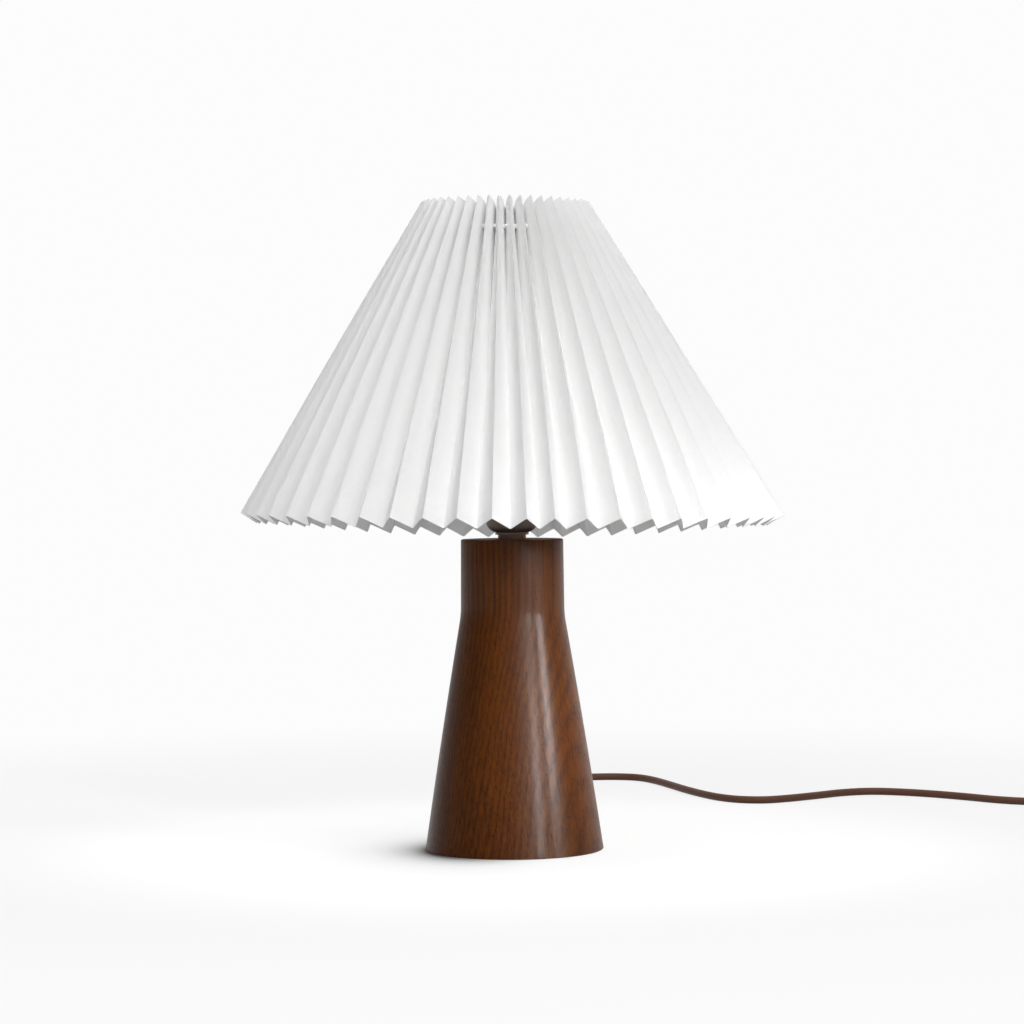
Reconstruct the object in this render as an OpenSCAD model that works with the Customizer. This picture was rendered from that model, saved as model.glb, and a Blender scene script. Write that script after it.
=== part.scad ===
// Table lamp: a pleated cone shade on a turned wooden base.
// Millimetres, +Z up, the table is z = 0 and the origin is the centre of the foot. The front is -Y.

/* [Wooden base] */
// Height of the base over the table
base_h = 259; // [230:1:300]
// Diameter of the foot
foot_d = 148.6; // [144:0.2:180]
// Diameter of the neck at the bend
neck_d = 86.4; // [76:0.2:96]
// How much thinner the neck is at its top
neck_taper = 1; // [0.2:0.1:3]
// Height of the bend between cone and neck
bend_h = 196; // [150:1:210]
// Length of that bend
bend_len = 14; // [6:1:24]
// How far the cone's side bows outwards
cone_bow = 0.6; // [0.2:0.1:2]
// Rounding of the outer edges
edge_r = 1.5; // [0.5:0.1:3]
// Height of the wood over the table
foot_gap = 0.8; // [0.4:0.1:1.2]
// Diameter of the recess under the base
recess_d = 112; // [100:1:116]
// Height of the recess's ceiling over the table
recess_h = 42; // [38:1:60]

/* [Foot] */
// Thickness of the felt
felt_t = 1.5; // [1.3:0.1:2.5]
// Thickness of the plate that closes the recess
plate_t = 2; // [1.5:0.1:3]
// Width of the ledge that the plate is screwed to
ledge_w = 10; // [8.5:0.5:11]
// Number of screws in the plate
plate_screws_n = 3; // [3:1:6]
// Thickness of the weight
weight_t = 14; // [8:1:16]

/* [Threaded tube and nuts] */
// Outer diameter of the threaded tube
tube_d = 10; // [9:0.5:11]
// Bore of the threaded tube
tube_bore = 8; // [7:0.5:8]
// Height of the round nut on the neck
neck_nut_h = 3.6; // [3:0.1:6]
// Diameter of the round nut on the neck
neck_nut_d = 23.5; // [20:0.5:26]
// Thickness of the washer under the lampholder
cup_washer_t = 1.8; // [1:0.1:3]
// Diameter of the washer under the lampholder
cup_washer_d = 28; // [27:0.5:32]

/* [Lampholder] */
// Diameter of the rounded cup
cup_d = 43.4; // [43:0.2:46]
// Height of the rounded cup
cup_h = 33.6; // [33:0.2:38]
// Radius of the cup's lower edge
cup_round = 10; // [8:0.5:10]
// Wall of the cup
cup_wall = 1.2; // [0.8:0.1:1.4]
// Outer diameter of the threaded shell
shell_d = 39.6; // [39:0.1:40]
// How far the shell stands over the cup
shell_h = 24; // [20:1:26]
// Height of the ring that holds the carrier
shade_ring_h = 6; // [4:0.5:8]

/* [Bulb] */
// Diameter of the globe
globe_d = 60; // [50:1:62]
// Length of the bulb from contact to top
bulb_len = 106; // [100:1:110]
// Diameter of the bulb's cap
cap_d = 26.1; // [25.8:0.1:26.3]

/* [Shade] */
// Number of pleats
pleats = 52; // [44:1:60]
// Width of the flat panel between two folds
panel_w = 20.6; // [19.6:0.1:22]
// Length of a fold from top to hem
fold_len = 303; // [280:1:315]
// Length of a fold above the carrier's ring
fold_head = 17.75; // [12:0.25:22]
// Radius of the inner folds at the carrier's ring
seat_r = 61.5; // [58:0.5:66]
// Height of the carrier's ring
seat_h = 514; // [500:1:530]
// Slope of the inner folds from upright, in degrees
slope = 31.75; // [29:0.25:33]
// How many degrees steeper the folds hang at the back
back_tuck = 6.5; // [0:0.5:8]
// Thickness of the pleated sheet
sheet_t = 0.6; // [0.4:0.1:0.8]
// Diameter of the gathering cord
gather_d = 3.4; // [2:0.1:4]

/* [Carrier] */
// Diameter of the carrier's wire
wire_d = 3; // [2.5:0.1:3.5]
// Number of legs
legs = 3; // [3:1:4]
// How far the carrier's ring stands to the left of the axis
seat_off = 3; // [0:0.5:4]
// How far the carrier's ring dips to the right, in degrees
seat_tilt = 0.75; // [0:0.25:1]
// Thickness of the flat ring at the lampholder
fitter_t = 1.5; // [1:0.1:2]
// Outer diameter of the flat ring at the lampholder
fitter_d = 54; // [52:1:58]

/* [Cord] */
// Diameter of the cord
cord_d = 7; // [6.4:0.1:7]
// Height at which the cord leaves the base
exit_h = 10; // [9.5:0.5:12]
// Length of the strain relief's taper
relief_len = 26; // [20:1:30]
// Turns in the coil, with the quarter turn that leaves it
coil_turns = 2.25; // [2.25:1:4.25]
// Radius of the coil's outermost turn
coil_r = 42; // [40:1:46]

/* [Switch and plug] */
// Length of the switch
switch_len = 64; // [60:1:70]
// Width of the switch
switch_w = 27; // [26:1:30]
// Height of the switch
switch_h = 18; // [17:0.5:20]
// Travel of the rocker, in degrees
rocker_travel = 16; // [10:1:18]
// Distance between the plug's pins
pin_gap = 18.6; // [18:0.1:19]
// Diameter of a pin
pin_d = 4; // [3.8:0.1:4]
// Length of a pin
pin_len = 19; // [18:0.5:20]

/* [Hidden] */

round_fn = 96;
small_fn = 48;
eps = 0.01;

// Clearances
fit = 0.1;
loose = 0.3;
running = 0.05;

// Wooden base
foot_r = foot_d / 2;
neck_r = neck_d / 2;
recess_r = recess_d / 2;
plate_r = recess_r + ledge_w;
plate_top = felt_t + plate_t;
plate_screw_bite = 12;
plate_screw_top = plate_top + plate_screw_bite;
function cone_r(z) =
    let (t = (z - foot_gap) / (bend_h - foot_gap))
    foot_r + (neck_r - foot_r) * t + 4 * cone_bow * t * (1 - t);

// Tube, nuts and the stack on the neck
tube_r = tube_d / 2;
weight_z = recess_h - weight_t;
weight_r = recess_r - 0.5;
tube_washer_r = 13;
tube_washer_t = 2;
tube_nut_r = tube_r + 3.5;
tube_nut_h = 5;
tube_spare = 3;
tube_bottom = weight_z - tube_washer_t - tube_nut_h - tube_spare;
cup_z = base_h + neck_nut_h + cup_washer_t;
cup_r = cup_d / 2;
cup_floor = cup_z + cup_wall;
cup_top = cup_z + cup_h;
cup_nut_r = tube_r + 3;
cup_nut_h = 3;
tube_top = cup_floor + cup_nut_h + tube_spare;

// Lampholder
shell_r = shell_d / 2;
shell_wall = 1.4;
flange_t = 2;
flange_r = cup_r + 0.6;
skirt_h = 12;
shell_top = cup_top + shell_h;
seat_z = cup_top + flange_t;
insert_r = shell_r - shell_wall - loose;
insert_top = cup_top - 6.5;
insert_h = 15.5;
insert_z = insert_top - insert_h;
insert_foot_r = 11.5;
insert_foot_wall = 2;
terminal_x = 14.5;
terminal_r = 2.6;
terminal_head_h = 2.2;
terminal_bite = 8;
core_r = 1.1;
core_x = 1.3;
core_z = tube_top + 2 * core_r;
contact_t = 0.6;
contact_w = 6;
contact_len = 16;
contact_pad_r = 2.4;
contact_top = insert_top + 1.5;
socket_wall = 0.5;
socket_r = cap_d / 2 + 0.35;
socket_top = insert_top + 24.5;

// Bulb
globe_r = globe_d / 2;
tip_z = contact_top + loose;
tip_h = 2;
tip_r = 4.8;
insulator_h = 3.7;
cap_z = tip_z + tip_h + insulator_h;
cap_h = 22;
cap_top = cap_z + cap_h;
cap_wall = 0.5;
glass_t = 0.8;
stem_r = cap_d / 2 - cap_wall - fit;
stem_h = 8;
bulb_top = tip_z + bulb_len;
globe_z = bulb_top - globe_r;

// Shade and carrier
half_pitch = 180 / pleats;
phase = -93.8;
fold_body = fold_len - fold_head;
stations = 4;
wire_r = wire_d / 2;
seat_gap = 0.3;
ring_r = seat_r - (wire_r + seat_gap) / cos(slope);
fitter_z = seat_z + loose;
fitter_top = fitter_z + fitter_t;
shade_ring_z = fitter_top + loose;
shade_ring_r = shell_r + 3.5;
leg_foot_r = fitter_d / 2 - wire_r;
leg_phase = 90;
weld_gap = 0.06;
gather_r = gather_d / 2;
gather_ring_r = seat_r + 2.8;

// Cord, its strain relief and the lead in the base
cord_r = cord_d / 2;
bush_r = 6.2;
bush_collar_r = 9;
bush_collar_t = 3;
bush_sink = 1.5;
bush_from = recess_r - 6;
bush_y = cone_r(exit_h) - bush_sink;
relief_y = bush_y + bush_collar_t;
exit_y = relief_y + relief_len;
relief_r = cord_r + 1.1;
lead_end_y = 22;
clamp_y = 42;
clamp_size = [26, 12];
clamp_z = plate_top + 2;
clamp_screw_x = 9;
clamp_screw_bite = 8;
screw_r = 1.6;
screw_head_r = 3;

// Switch, in its own place behind the base
switch_y = 300;
switch_end = switch_y + switch_len;
switch_mid = switch_y + switch_len / 2;
switch_split = 8.5;
switch_round = 8;
rocker_len = 17;
rocker_w = 11;
rocker_z = switch_h - 4;
rocker_pin_r = 1.4;
rocker_pin = 2.5;
rocker_side_gap = 0.5;
rocker_end_gap = 1.6;

// The cord's route, point by point, on the table behind the lamp and out to the right
lead_route = [
    [0, exit_y, exit_h], [0, exit_y + 8, exit_h],
    [-3, 140, 5.5], [-9, 172, cord_r], [-12, 205, cord_r], [-9, 240, cord_r], [-3, 268, 5],
    [0, switch_y - 8, switch_split], [0, switch_y, switch_split]
];
coil_centre = [540, 330];
coil_z = cord_r + 1.4;
layer_h = cord_d + 0.6;
turn_gap = cord_d + 0.7;
coil_start = [coil_centre.x, coil_centre.y - coil_r, coil_z];
run_route = [
    [0, switch_end, switch_split], [0, switch_end + 8, switch_split],
    [1, 400, 5], [3, 430, cord_r], [7, 462, cord_r], [15, 494, cord_r], [31, 522, cord_r],
    [56, 544, cord_r], [84, 553, cord_r], [108, 552, cord_r], [127, 540, cord_r],
    [141, 512, cord_r], [154, 470, cord_r], [167, 424, cord_r], [180, 386, cord_r],
    [194, 355, cord_r], [212, 334, cord_r], [235, 328, cord_r], [258, 339, cord_r],
    [285, 360, cord_r], [315, 385, cord_r], [343, 395, cord_r], [371, 386, cord_r],
    [400, 366, cord_r], [427, 340, cord_r], [452, 313, cord_r], [476, 297, cord_r],
    [505, coil_start.y + 1, cord_r + 0.6], coil_start - [cord_d + 8, 0, 0], coil_start - [cord_d, 0, 0]
];
tube_sides = 10;
coil_sides = 6;
coil_steps = 24;

// Plug, beside the coil
plug_y = coil_centre.y + 48;
plug_x = coil_centre.x + coil_r;
plug_t = 13.7;
plug_z = plug_t / 2;
plug_w = 35;
plug_back_w = 15;
plug_round = 5;
plug_len = 38;
boot_len = 24;
boot_thin_r = cord_r + 1;
boot_thick_r = cord_r + 2.4;
plug_body_y = plug_y + boot_len;
plug_end = plug_body_y + plug_len;
pin_r = pin_d / 2;
pin_core_r = pin_r - 0.55;
pin_root = 9.5;
pin_chamfer = 1;
sleeve_r = pin_r - 0.05;
sleeve_draft = 0.15;
sleeve_len = 10;

// A point of a Catmull-Rom curve between p1 and p2, never lower than the cord lies on the table
function between(p0, p1, p2, p3, t) =
    let (p = 0.5 * (2 * p1 + (p2 - p0) * t + (2 * p0 - 5 * p1 + 4 * p2 - p3) * t * t
        + (3 * p1 - p0 - 3 * p2 + p3) * t * t * t))
    [p.x, p.y, max(cord_r, p.z)];

// The route with one more point halfway along each inner stretch
function eased(route) = let (n = len(route)) [
    for (i = [0 : n - 1]) each concat([route[i]],
        i == 0 || i >= n - 2 ? [] :
            [between(route[i - 1], route[i], route[i + 1], route[min(n - 1, i + 2)], 0.5)])
];

function unit(v) = v / norm(v);

// One ring of a tube: its centre, the direction that it faces, its radius and number of sides
function ring(centre, along, r, sides) =
    let (across = unit(cross(along, [0, 0, 1])), up = cross(across, along))
    [for (k = [0 : sides - 1]) let (a = 360 * k / sides - 90)
        centre + r * (cos(a) * across + sin(a) * up)];

// A closed tube along the points of a path
module tube(path, r, sides) {
    n = len(path);
    points = [for (i = [0 : n - 1])
        each ring(path[i], unit(path[min(n - 1, i + 1)] - path[max(0, i - 1)]), r, sides)];
    sides_faces = [for (i = [0 : n - 2], k = [0 : sides - 1])
        let (a = i * sides + k, b = i * sides + (k + 1) % sides)
        each [[a, b, b + sides], [a, b + sides, a + sides]]];
    last = (n - 1) * sides;
    start_cap = [for (k = [1 : sides - 2]) [0, k + 1, k]];
    end_cap = [for (k = [1 : sides - 2]) [last, last + k, last + k + 1]];
    polyhedron(points, concat(sides_faces, start_cap, end_cap), convexity = 10);
}

// The coil winds in at a steady rate, climbs one layer where it turns round, and winds out again
function coil_point(t) =
    let (
        inward = min(t, coil_turns - t),
        r = coil_r - turn_gap * inward,
        a = -90 + 360 * t,
        climb = min(1, max(0, 2 * (t - coil_turns / 2) + 0.5)),
        eased_climb = climb * climb * (3 - 2 * climb)
    )
    [coil_centre.x + r * cos(a), coil_centre.y + r * sin(a), coil_z + layer_h * eased_climb];
coil_top = coil_z + layer_h;
tail_route = [
    for (t = [0.2 : 0.2 : 0.81])
        [plug_x, coil_centre.y + t * (plug_y - coil_centre.y - 8), coil_top
            + (plug_z - coil_top) * t * t * (3 - 2 * t)]
];
coil_n = round(coil_steps * coil_turns);
coil_path = concat(
    [coil_start - [cord_d, 0, 0], coil_start],
    [for (i = [1 : coil_n]) coil_point(i / coil_steps)],
    tail_route,
    [[plug_x, plug_y - cord_d, plug_z], [plug_x, plug_y, plug_z]]
);

// The least gap between turns, from each point to every stretch at least a third of a turn away
function off_stretch(p, a, b) =
    let (t = min(1, max(0, (p - a) * (b - a) / ((b - a) * (b - a))))) norm(p - a - t * (b - a));
coil_gap = min([for (i = [0 : len(coil_path) - 1], j = [0 : len(coil_path) - 2])
    if (abs(i - j) > coil_steps / 3) off_stretch(coil_path[i], coil_path[j], coil_path[j + 1])])
    - cord_d;
echo(least_gap_in_coil_mm = coil_gap);

// Shade: how steep the inner fold hangs at an azimuth
function fold_slope(a) = slope - back_tuck * pow(max(0, sin(a)), 1.5);

// How far the outer folds stand out from inner folds of radius r, for a flat panel of panel_w
function pleat_depth(r, a) =
    let (
        bend = 1 - cos(half_pitch),
        rise = 1 + pow(tan(fold_slope(a)), 2)
    )
    (-r * bend + sqrt(pow(r * bend, 2) + rise * (panel_w * panel_w - 2 * r * r * bend))) / rise;

// A point of the shade: azimuth a, distance s down the inner fold from the carrier's ring, and
// distance out from the inner fold. The edges are cut square to the folds, so they rise outwards.
function shade_point(a, s, out) =
    let (
        r = seat_r + s * sin(fold_slope(a)) + out,
        x = r * cos(a) - seat_off * (1 - s / fold_body)
    )
    [x, r * sin(a), seat_h - s * cos(fold_slope(a)) + out * tan(fold_slope(a)) - x * tan(seat_tilt)];

// The sheet's thickness measured radially, for a fold whose panels spread over half_pitch
function radial_t(r, depth) = sheet_t * norm([depth, r * sin(half_pitch)]) / (r * sin(half_pitch));

// One ring of the shade's skin: the outer folds and the inner folds in turn
function shade_ring_points(s, outer) = [
    for (i = [0 : pleats - 1], fold = [0, 1])
        let (
            a = phase + (2 * i + fold) * half_pitch,
            r = seat_r + s * sin(fold_slope(a)),
            depth = pleat_depth(r, a),
            t = radial_t(r + depth / 2, depth)
        )
        shade_point(a, s, fold == 0 ? depth - (outer ? 0 : t) : (outer ? t : 0))
];

module pleated_shade() {
    rows = [for (k = [0 : stations - 1]) -fold_head + fold_len * k / (stations - 1)];
    around = 2 * pleats;
    skin = stations * around;
    points = concat(
        [for (s = rows) each shade_ring_points(s, true)],
        [for (s = rows) each shade_ring_points(s, false)]
    );
    walls = [for (k = [0 : stations - 2], i = [0 : around - 1])
        let (a = k * around + i, b = k * around + (i + 1) % around)
        each [
            [a, b, b + around], [a, b + around, a + around],
            [skin + a, skin + b + around, skin + b], [skin + a, skin + a + around, skin + b + around]
        ]];
    low = skin - around;
    edges = [for (i = [0 : around - 1])
        let (j = (i + 1) % around)
        each [
            [i, skin + i, skin + j], [i, skin + j, j],
            [low + i, low + j, skin + low + j], [low + i, skin + low + j, skin + low + i]
        ]];
    color("whitesmoke") polyhedron(points, concat(walls, edges), convexity = 20);
}

// Puts a ring of the carrier or the gathering cord where the shade sits
module at_seat() {
    translate([-seat_off, 0, seat_h]) rotate([0, seat_tilt, 0]) children();
}

module round_wire(r, wire) {
    rotate_extrude($fn = round_fn) translate([r, 0]) circle(r = wire, $fn = small_fn);
}

module gathering_cord() {
    color("white") at_seat() round_wire(gather_ring_r, gather_r);
}

// A washer or ring between two radii
module washer(outer, inner, h) {
    difference() {
        cylinder(r = outer, h = h, $fn = round_fn);
        translate([0, 0, -eps]) cylinder(r = inner, h = h + 2 * eps, $fn = round_fn);
    }
}

module hex_nut(across_r, inner, h) {
    difference() {
        cylinder(r = across_r, h = h, $fn = 6);
        translate([0, 0, -eps]) cylinder(r = inner, h = h + 2 * eps, $fn = small_fn);
    }
}

// A cylinder between two points
module rod(from, to, r, fn = small_fn) {
    d = to - from;
    translate(from)
        rotate([0, acos(d.z / norm(d)), atan2(d.y, d.x)])
            cylinder(r = r, h = norm(d), $fn = fn);
}

// Places children round the axis
module around_axis(n, from = 0) {
    for (i = [0 : n - 1]) rotate([0, 0, from + 360 * i / n]) children();
}

// A quarter of a rounded edge as profile points, from angle a0 to a1 about a centre
function arc(centre, r, a0, a1, n) =
    [for (i = [0 : n]) let (a = a0 + (a1 - a0) * i / n) centre + r * [cos(a), sin(a)]];

module wood_base() {
    top_r = neck_r - neck_taper / 2;
    bend_low = bend_h - bend_len / 2;
    low = [cone_r(bend_low), bend_low];
    corner = [neck_r, bend_h];
    high = [neck_r - neck_taper / 2 * bend_len / 2 / (base_h - bend_h), bend_h + bend_len / 2];
    cone_from = foot_gap + edge_r;
    profile = concat(
        [[0, foot_gap]],
        arc([foot_r - edge_r, foot_gap + edge_r], edge_r, -90, -20, 3),
        [for (i = [1 : 9]) let (z = cone_from + (bend_low - cone_from) * i / 10) [cone_r(z), z]],
        [for (i = [0 : 5]) let (t = i / 5)
            (1 - t) * (1 - t) * low + 2 * t * (1 - t) * corner + t * t * high],
        arc([top_r - edge_r, base_h - edge_r], edge_r, 0, 90, 4),
        [[0, base_h]]
    );
    color("saddlebrown") difference() {
        rotate_extrude($fn = round_fn) polygon(profile);
        translate([0, 0, -eps]) cylinder(r = plate_r + fit, h = plate_top + eps, $fn = round_fn);
        cylinder(r = recess_r, h = recess_h, $fn = round_fn);
        cylinder(r = tube_r + loose, h = base_h + 1, $fn = small_fn);
        around_axis(plate_screws_n, 30) translate([recess_r + ledge_w / 2, 0, 0])
            cylinder(r = screw_r + fit, h = plate_screw_top + loose, $fn = small_fn);
        translate([0, bush_from, exit_h]) rotate([-90, 0, 0])
            cylinder(r = bush_r + fit, h = foot_r, $fn = small_fn);
        translate([0, bush_y, exit_h]) rotate([-90, 0, 0])
            cylinder(r = bush_collar_r + loose, h = foot_r, $fn = small_fn);
    }
}

module felt_pad() {
    color("dimgray") cylinder(r = plate_r - 1, h = felt_t, $fn = round_fn);
}

module plate_screw(extra = 0) {
    translate([recess_r + ledge_w / 2, 0, felt_t]) {
        cylinder(r1 = screw_head_r + extra, r2 = screw_r + extra, h = plate_t - 0.2, $fn = small_fn);
        cylinder(r = screw_r + extra, h = plate_screw_top - felt_t, $fn = small_fn);
    }
}

module plate_screws() {
    color("silver") around_axis(plate_screws_n, 30) plate_screw();
}

module base_plate() {
    color("tan") difference() {
        translate([0, 0, felt_t]) cylinder(r = plate_r, h = plate_t, $fn = round_fn);
        around_axis(plate_screws_n, 30) translate([0, 0, -eps]) plate_screw(fit);
    }
}

module base_weight() {
    color("slategray") difference() {
        translate([0, 0, weight_z]) cylinder(r = weight_r, h = weight_t, $fn = round_fn);
        translate([0, 0, weight_z - 1]) cylinder(r = tube_r + loose, h = weight_t + 2, $fn = small_fn);
        for (x = [-1, 1]) translate([x * clamp_screw_x, clamp_y, weight_z - 1])
            cylinder(r = screw_r + fit, h = clamp_screw_bite + 2, $fn = small_fn);
    }
}

module threaded_tube() {
    color("goldenrod") translate([0, 0, tube_bottom])
        washer(tube_r, tube_bore / 2, tube_top - tube_bottom);
}

module tube_washer() {
    color("silver") translate([0, 0, weight_z - tube_washer_t])
        washer(tube_washer_r, tube_r + loose, tube_washer_t);
}

module tube_nut() {
    color("silver") translate([0, 0, weight_z - tube_washer_t - tube_nut_h])
        hex_nut(tube_nut_r, tube_r + fit, tube_nut_h);
}

module neck_nut() {
    chamfer = 0.5;
    r = neck_nut_d / 2;
    color("saddlebrown") translate([0, 0, base_h]) rotate_extrude($fn = round_fn) polygon([
        [tube_r + fit, 0], [r, 0], [r, neck_nut_h - chamfer], [r - chamfer, neck_nut_h],
        [tube_r + fit, neck_nut_h]
    ]);
}

module cup_washer() {
    color("saddlebrown") translate([0, 0, base_h + neck_nut_h])
        washer(cup_washer_d / 2, tube_r + loose, cup_washer_t);
}

module cup_nut() {
    color("silver") translate([0, 0, cup_floor]) hex_nut(cup_nut_r, tube_r + fit, cup_nut_h);
}

module holder_cup() {
    centre = [cup_r - cup_round, cup_z + cup_round];
    color("saddlebrown") rotate_extrude($fn = round_fn) polygon(concat(
        [[tube_r + loose, cup_z]],
        arc(centre, cup_round, -90, 0, 8),
        [[cup_r, cup_top], [cup_r - cup_wall, cup_top]],
        arc(centre, cup_round - cup_wall, 0, -90, 8),
        [[tube_r + loose, cup_floor]]
    ));
}

module holder_insert() {
    slot = 2 * core_r + 0.6;
    color("ivory") difference() {
        union() {
            translate([0, 0, insert_z]) cylinder(r = insert_r, h = insert_h, $fn = round_fn);
            translate([0, 0, cup_floor]) cylinder(r = insert_foot_r, h = insert_z - cup_floor + 1, $fn = round_fn);
        }
        translate([0, 0, cup_floor - 1])
            cylinder(r = insert_foot_r - insert_foot_wall, h = insert_z - cup_floor + 1, $fn = round_fn);
        translate([-insert_foot_r - 1, -slot / 2, core_z - core_r - 0.3])
            cube([2 * insert_foot_r + 2, slot, insert_z - core_z + core_r + 0.3]);
        for (x = [-1, 1]) translate([x * terminal_x, 0, insert_z - 1])
            cylinder(r = screw_r + fit, h = terminal_bite + loose + 1, $fn = small_fn);
    }
}

module terminal_screws() {
    color("gold") for (x = [-1, 1]) translate([x * terminal_x, 0, insert_z]) {
        cylinder(r = screw_r, h = terminal_bite, $fn = small_fn);
        translate([0, 0, -terminal_head_h]) cylinder(r = terminal_r, h = terminal_head_h, $fn = small_fn);
    }
}

module centre_contact() {
    color("gold") translate([0, 0, insert_top]) {
        translate([-contact_w / 2, -contact_len / 2, 0]) cube([contact_w, contact_len, contact_t]);
        cylinder(r = contact_pad_r, h = contact_top - insert_top, $fn = small_fn);
    }
}

module socket_thread() {
    color("gold") translate([0, 0, insert_top])
        washer(socket_r + socket_wall, socket_r, socket_top - insert_top);
}

module holder_shell() {
    inner = shell_r - shell_wall;
    skirt_z = cup_top - skirt_h;
    lip = 0.8;
    lip_h = 2;
    color("saddlebrown") rotate_extrude($fn = round_fn) polygon([
        [inner, skirt_z], [shell_r, skirt_z], [shell_r, cup_top], [flange_r, cup_top],
        [flange_r, seat_z], [shell_r, seat_z], [shell_r, shell_top - 1], [shell_r - 0.6, shell_top],
        [inner - lip, shell_top], [inner - lip, shell_top - lip_h], [inner, shell_top - lip_h - 1]
    ]);
}

module shade_ring() {
    r = shell_r + fit;
    chamfer = 0.6;
    color("saddlebrown") translate([0, 0, shade_ring_z]) rotate_extrude($fn = round_fn) polygon([
        [r, 0], [shade_ring_r, 0], [shade_ring_r, shade_ring_h - chamfer],
        [shade_ring_r - chamfer, shade_ring_h], [r, shade_ring_h]
    ]);
}

// Bulb: the globe's outline, and the same outline set in by the glass
function globe_outline(inset) =
    let (
        from = -40,
        r = globe_r - inset,
        shoulder = [r * cos(from), globe_z + r * sin(from)],
        neck = [stem_r - inset, cap_top + 1],
        corner = neck + [0, 9]
    )
    concat(
        [for (i = [0 : 16]) let (a = 90 - (90 - from) * i / 16) [r * cos(a), globe_z + r * sin(a)]],
        [for (i = [1 : 6]) let (t = i / 6)
            (1 - t) * (1 - t) * shoulder + 2 * t * (1 - t) * corner + t * t * neck],
        [[stem_r - inset, cap_top - stem_h]]
    );

module bulb_globe() {
    inner = globe_outline(glass_t);
    color("white") rotate_extrude($fn = round_fn)
        polygon(concat(globe_outline(0), [for (i = [len(inner) - 1 : -1 : 0]) inner[i]]));
}

module bulb_cap() {
    color("silver") translate([0, 0, cap_z]) washer(cap_d / 2, cap_d / 2 - cap_wall, cap_h);
}

module bulb_insulator() {
    color("black") translate([0, 0, tip_z + tip_h])
        cylinder(r1 = tip_r + 1, r2 = cap_d / 2 - 0.2, h = insulator_h, $fn = round_fn);
}

module bulb_contact() {
    color("silver") translate([0, 0, tip_z]) cylinder(r1 = tip_r - 1, r2 = tip_r, h = tip_h, $fn = small_fn);
}

// Carrier
module carrier_fitter() {
    color("silver") translate([0, 0, fitter_z])
        washer(fitter_d / 2, shell_r + 0.35, fitter_t);
}

module carrier_ring() {
    color("silver") at_seat() round_wire(ring_r, wire_r);
}

module carrier_legs() {
    // Each leg is welded to the fitter's top and to the ring's inner side
    head_r = ring_r - 2 * wire_r - weld_gap;
    color("silver") for (i = [0 : legs - 1])
        let (
            a = leg_phase + 360 * i / legs,
            dip = head_r * cos(a) * sin(seat_tilt),
            foot = [leg_foot_r * cos(a), leg_foot_r * sin(a), fitter_top],
            head = [head_r * cos(a) - seat_off, head_r * sin(a), seat_h - dip],
            along = unit(head - foot),
            lift = wire_r * norm([along.x, along.y]) + weld_gap
        )
        rod(foot + [0, 0, lift], head + wire_r * along, wire_r);
}

// Cord, strain relief and the lead inside the base
module cord_bush() {
    color("saddlebrown") difference() {
        translate([0, 0, exit_h]) rotate([-90, 0, 0]) {
            translate([0, 0, bush_from]) cylinder(r = bush_r, h = relief_y - bush_from, $fn = small_fn);
            translate([0, 0, bush_y]) cylinder(r = bush_collar_r, h = bush_collar_t, $fn = small_fn);
            translate([0, 0, relief_y])
                cylinder(r1 = bush_r + 0.3, r2 = relief_r, h = relief_len, $fn = small_fn);
        }
        translate([0, bush_from - 1, exit_h]) rotate([-90, 0, 0])
            cylinder(r = cord_r + fit, h = exit_y, $fn = small_fn);
    }
}

module cord_clamp() {
    color("ivory") difference() {
        translate([-clamp_size.x / 2, clamp_y - clamp_size.y / 2, clamp_z])
            cube([clamp_size.x, clamp_size.y, weight_z - clamp_z]);
        translate([0, 0, exit_h]) rotate([-90, 0, 0])
            cylinder(r = cord_r + fit, h = foot_r, $fn = small_fn);
        for (x = [-1, 1]) translate([x * clamp_screw_x, clamp_y, clamp_z - 1])
            cylinder(r = screw_r + fit, h = weight_z, $fn = small_fn);
    }
}

module clamp_screws() {
    head_h = 1.7;
    color("silver") for (x = [-1, 1]) translate([x * clamp_screw_x, clamp_y, 0]) {
        translate([0, 0, clamp_z - head_h]) cylinder(r = screw_head_r, h = head_h, $fn = small_fn);
        translate([0, 0, clamp_z])
            cylinder(r = screw_r, h = weight_z + clamp_screw_bite - clamp_z, $fn = small_fn);
    }
}

module inner_lead() {
    color("sienna") translate([0, lead_end_y, exit_h]) rotate([-90, 0, 0])
        cylinder(r = cord_r, h = exit_y - lead_end_y, $fn = small_fn);
}

// A quarter of a ring of the core, between two quarters of its circle
module core_bend(r, from) {
    rotate([0, 0, from]) rotate_extrude(angle = 90, $fn = small_fn)
        translate([r, 0]) circle(r = core_r, $fn = small_fn);
}

// Two cores run from the clamped lead into the tube, up through it, and out to the terminals
module lead_cores() {
    low_bend = tube_bottom - exit_h;
    high_bend = 3;
    color("navy") for (x = [-1, 1]) {
        translate([x * core_x, low_bend, exit_h]) rotate([-90, 0, 0])
            cylinder(r = core_r, h = lead_end_y - low_bend, $fn = small_fn);
        translate([x * core_x, low_bend, tube_bottom]) rotate([90, 0, 90]) core_bend(low_bend, 180);
        translate([x * core_x, 0, tube_bottom])
            cylinder(r = core_r, h = core_z - high_bend - tube_bottom, $fn = small_fn);
        translate([x * (core_x + high_bend), 0, core_z - high_bend])
            rotate([90, 0, 0]) core_bend(high_bend, x > 0 ? 90 : 0);
        translate([x * (core_x + high_bend), 0, core_z]) rotate([0, x * 90, 0])
            cylinder(r = core_r, h = terminal_x - terminal_r - core_x - high_bend, $fn = small_fn);
    }
}

module cord_lead() {
    color("sienna") tube(eased(lead_route), cord_r, tube_sides);
}

module cord_run() {
    color("sienna") tube(eased(run_route), cord_r, tube_sides);
}

module cord_coil() {
    color("sienna") tube(coil_path, cord_r, coil_sides);
}

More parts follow.
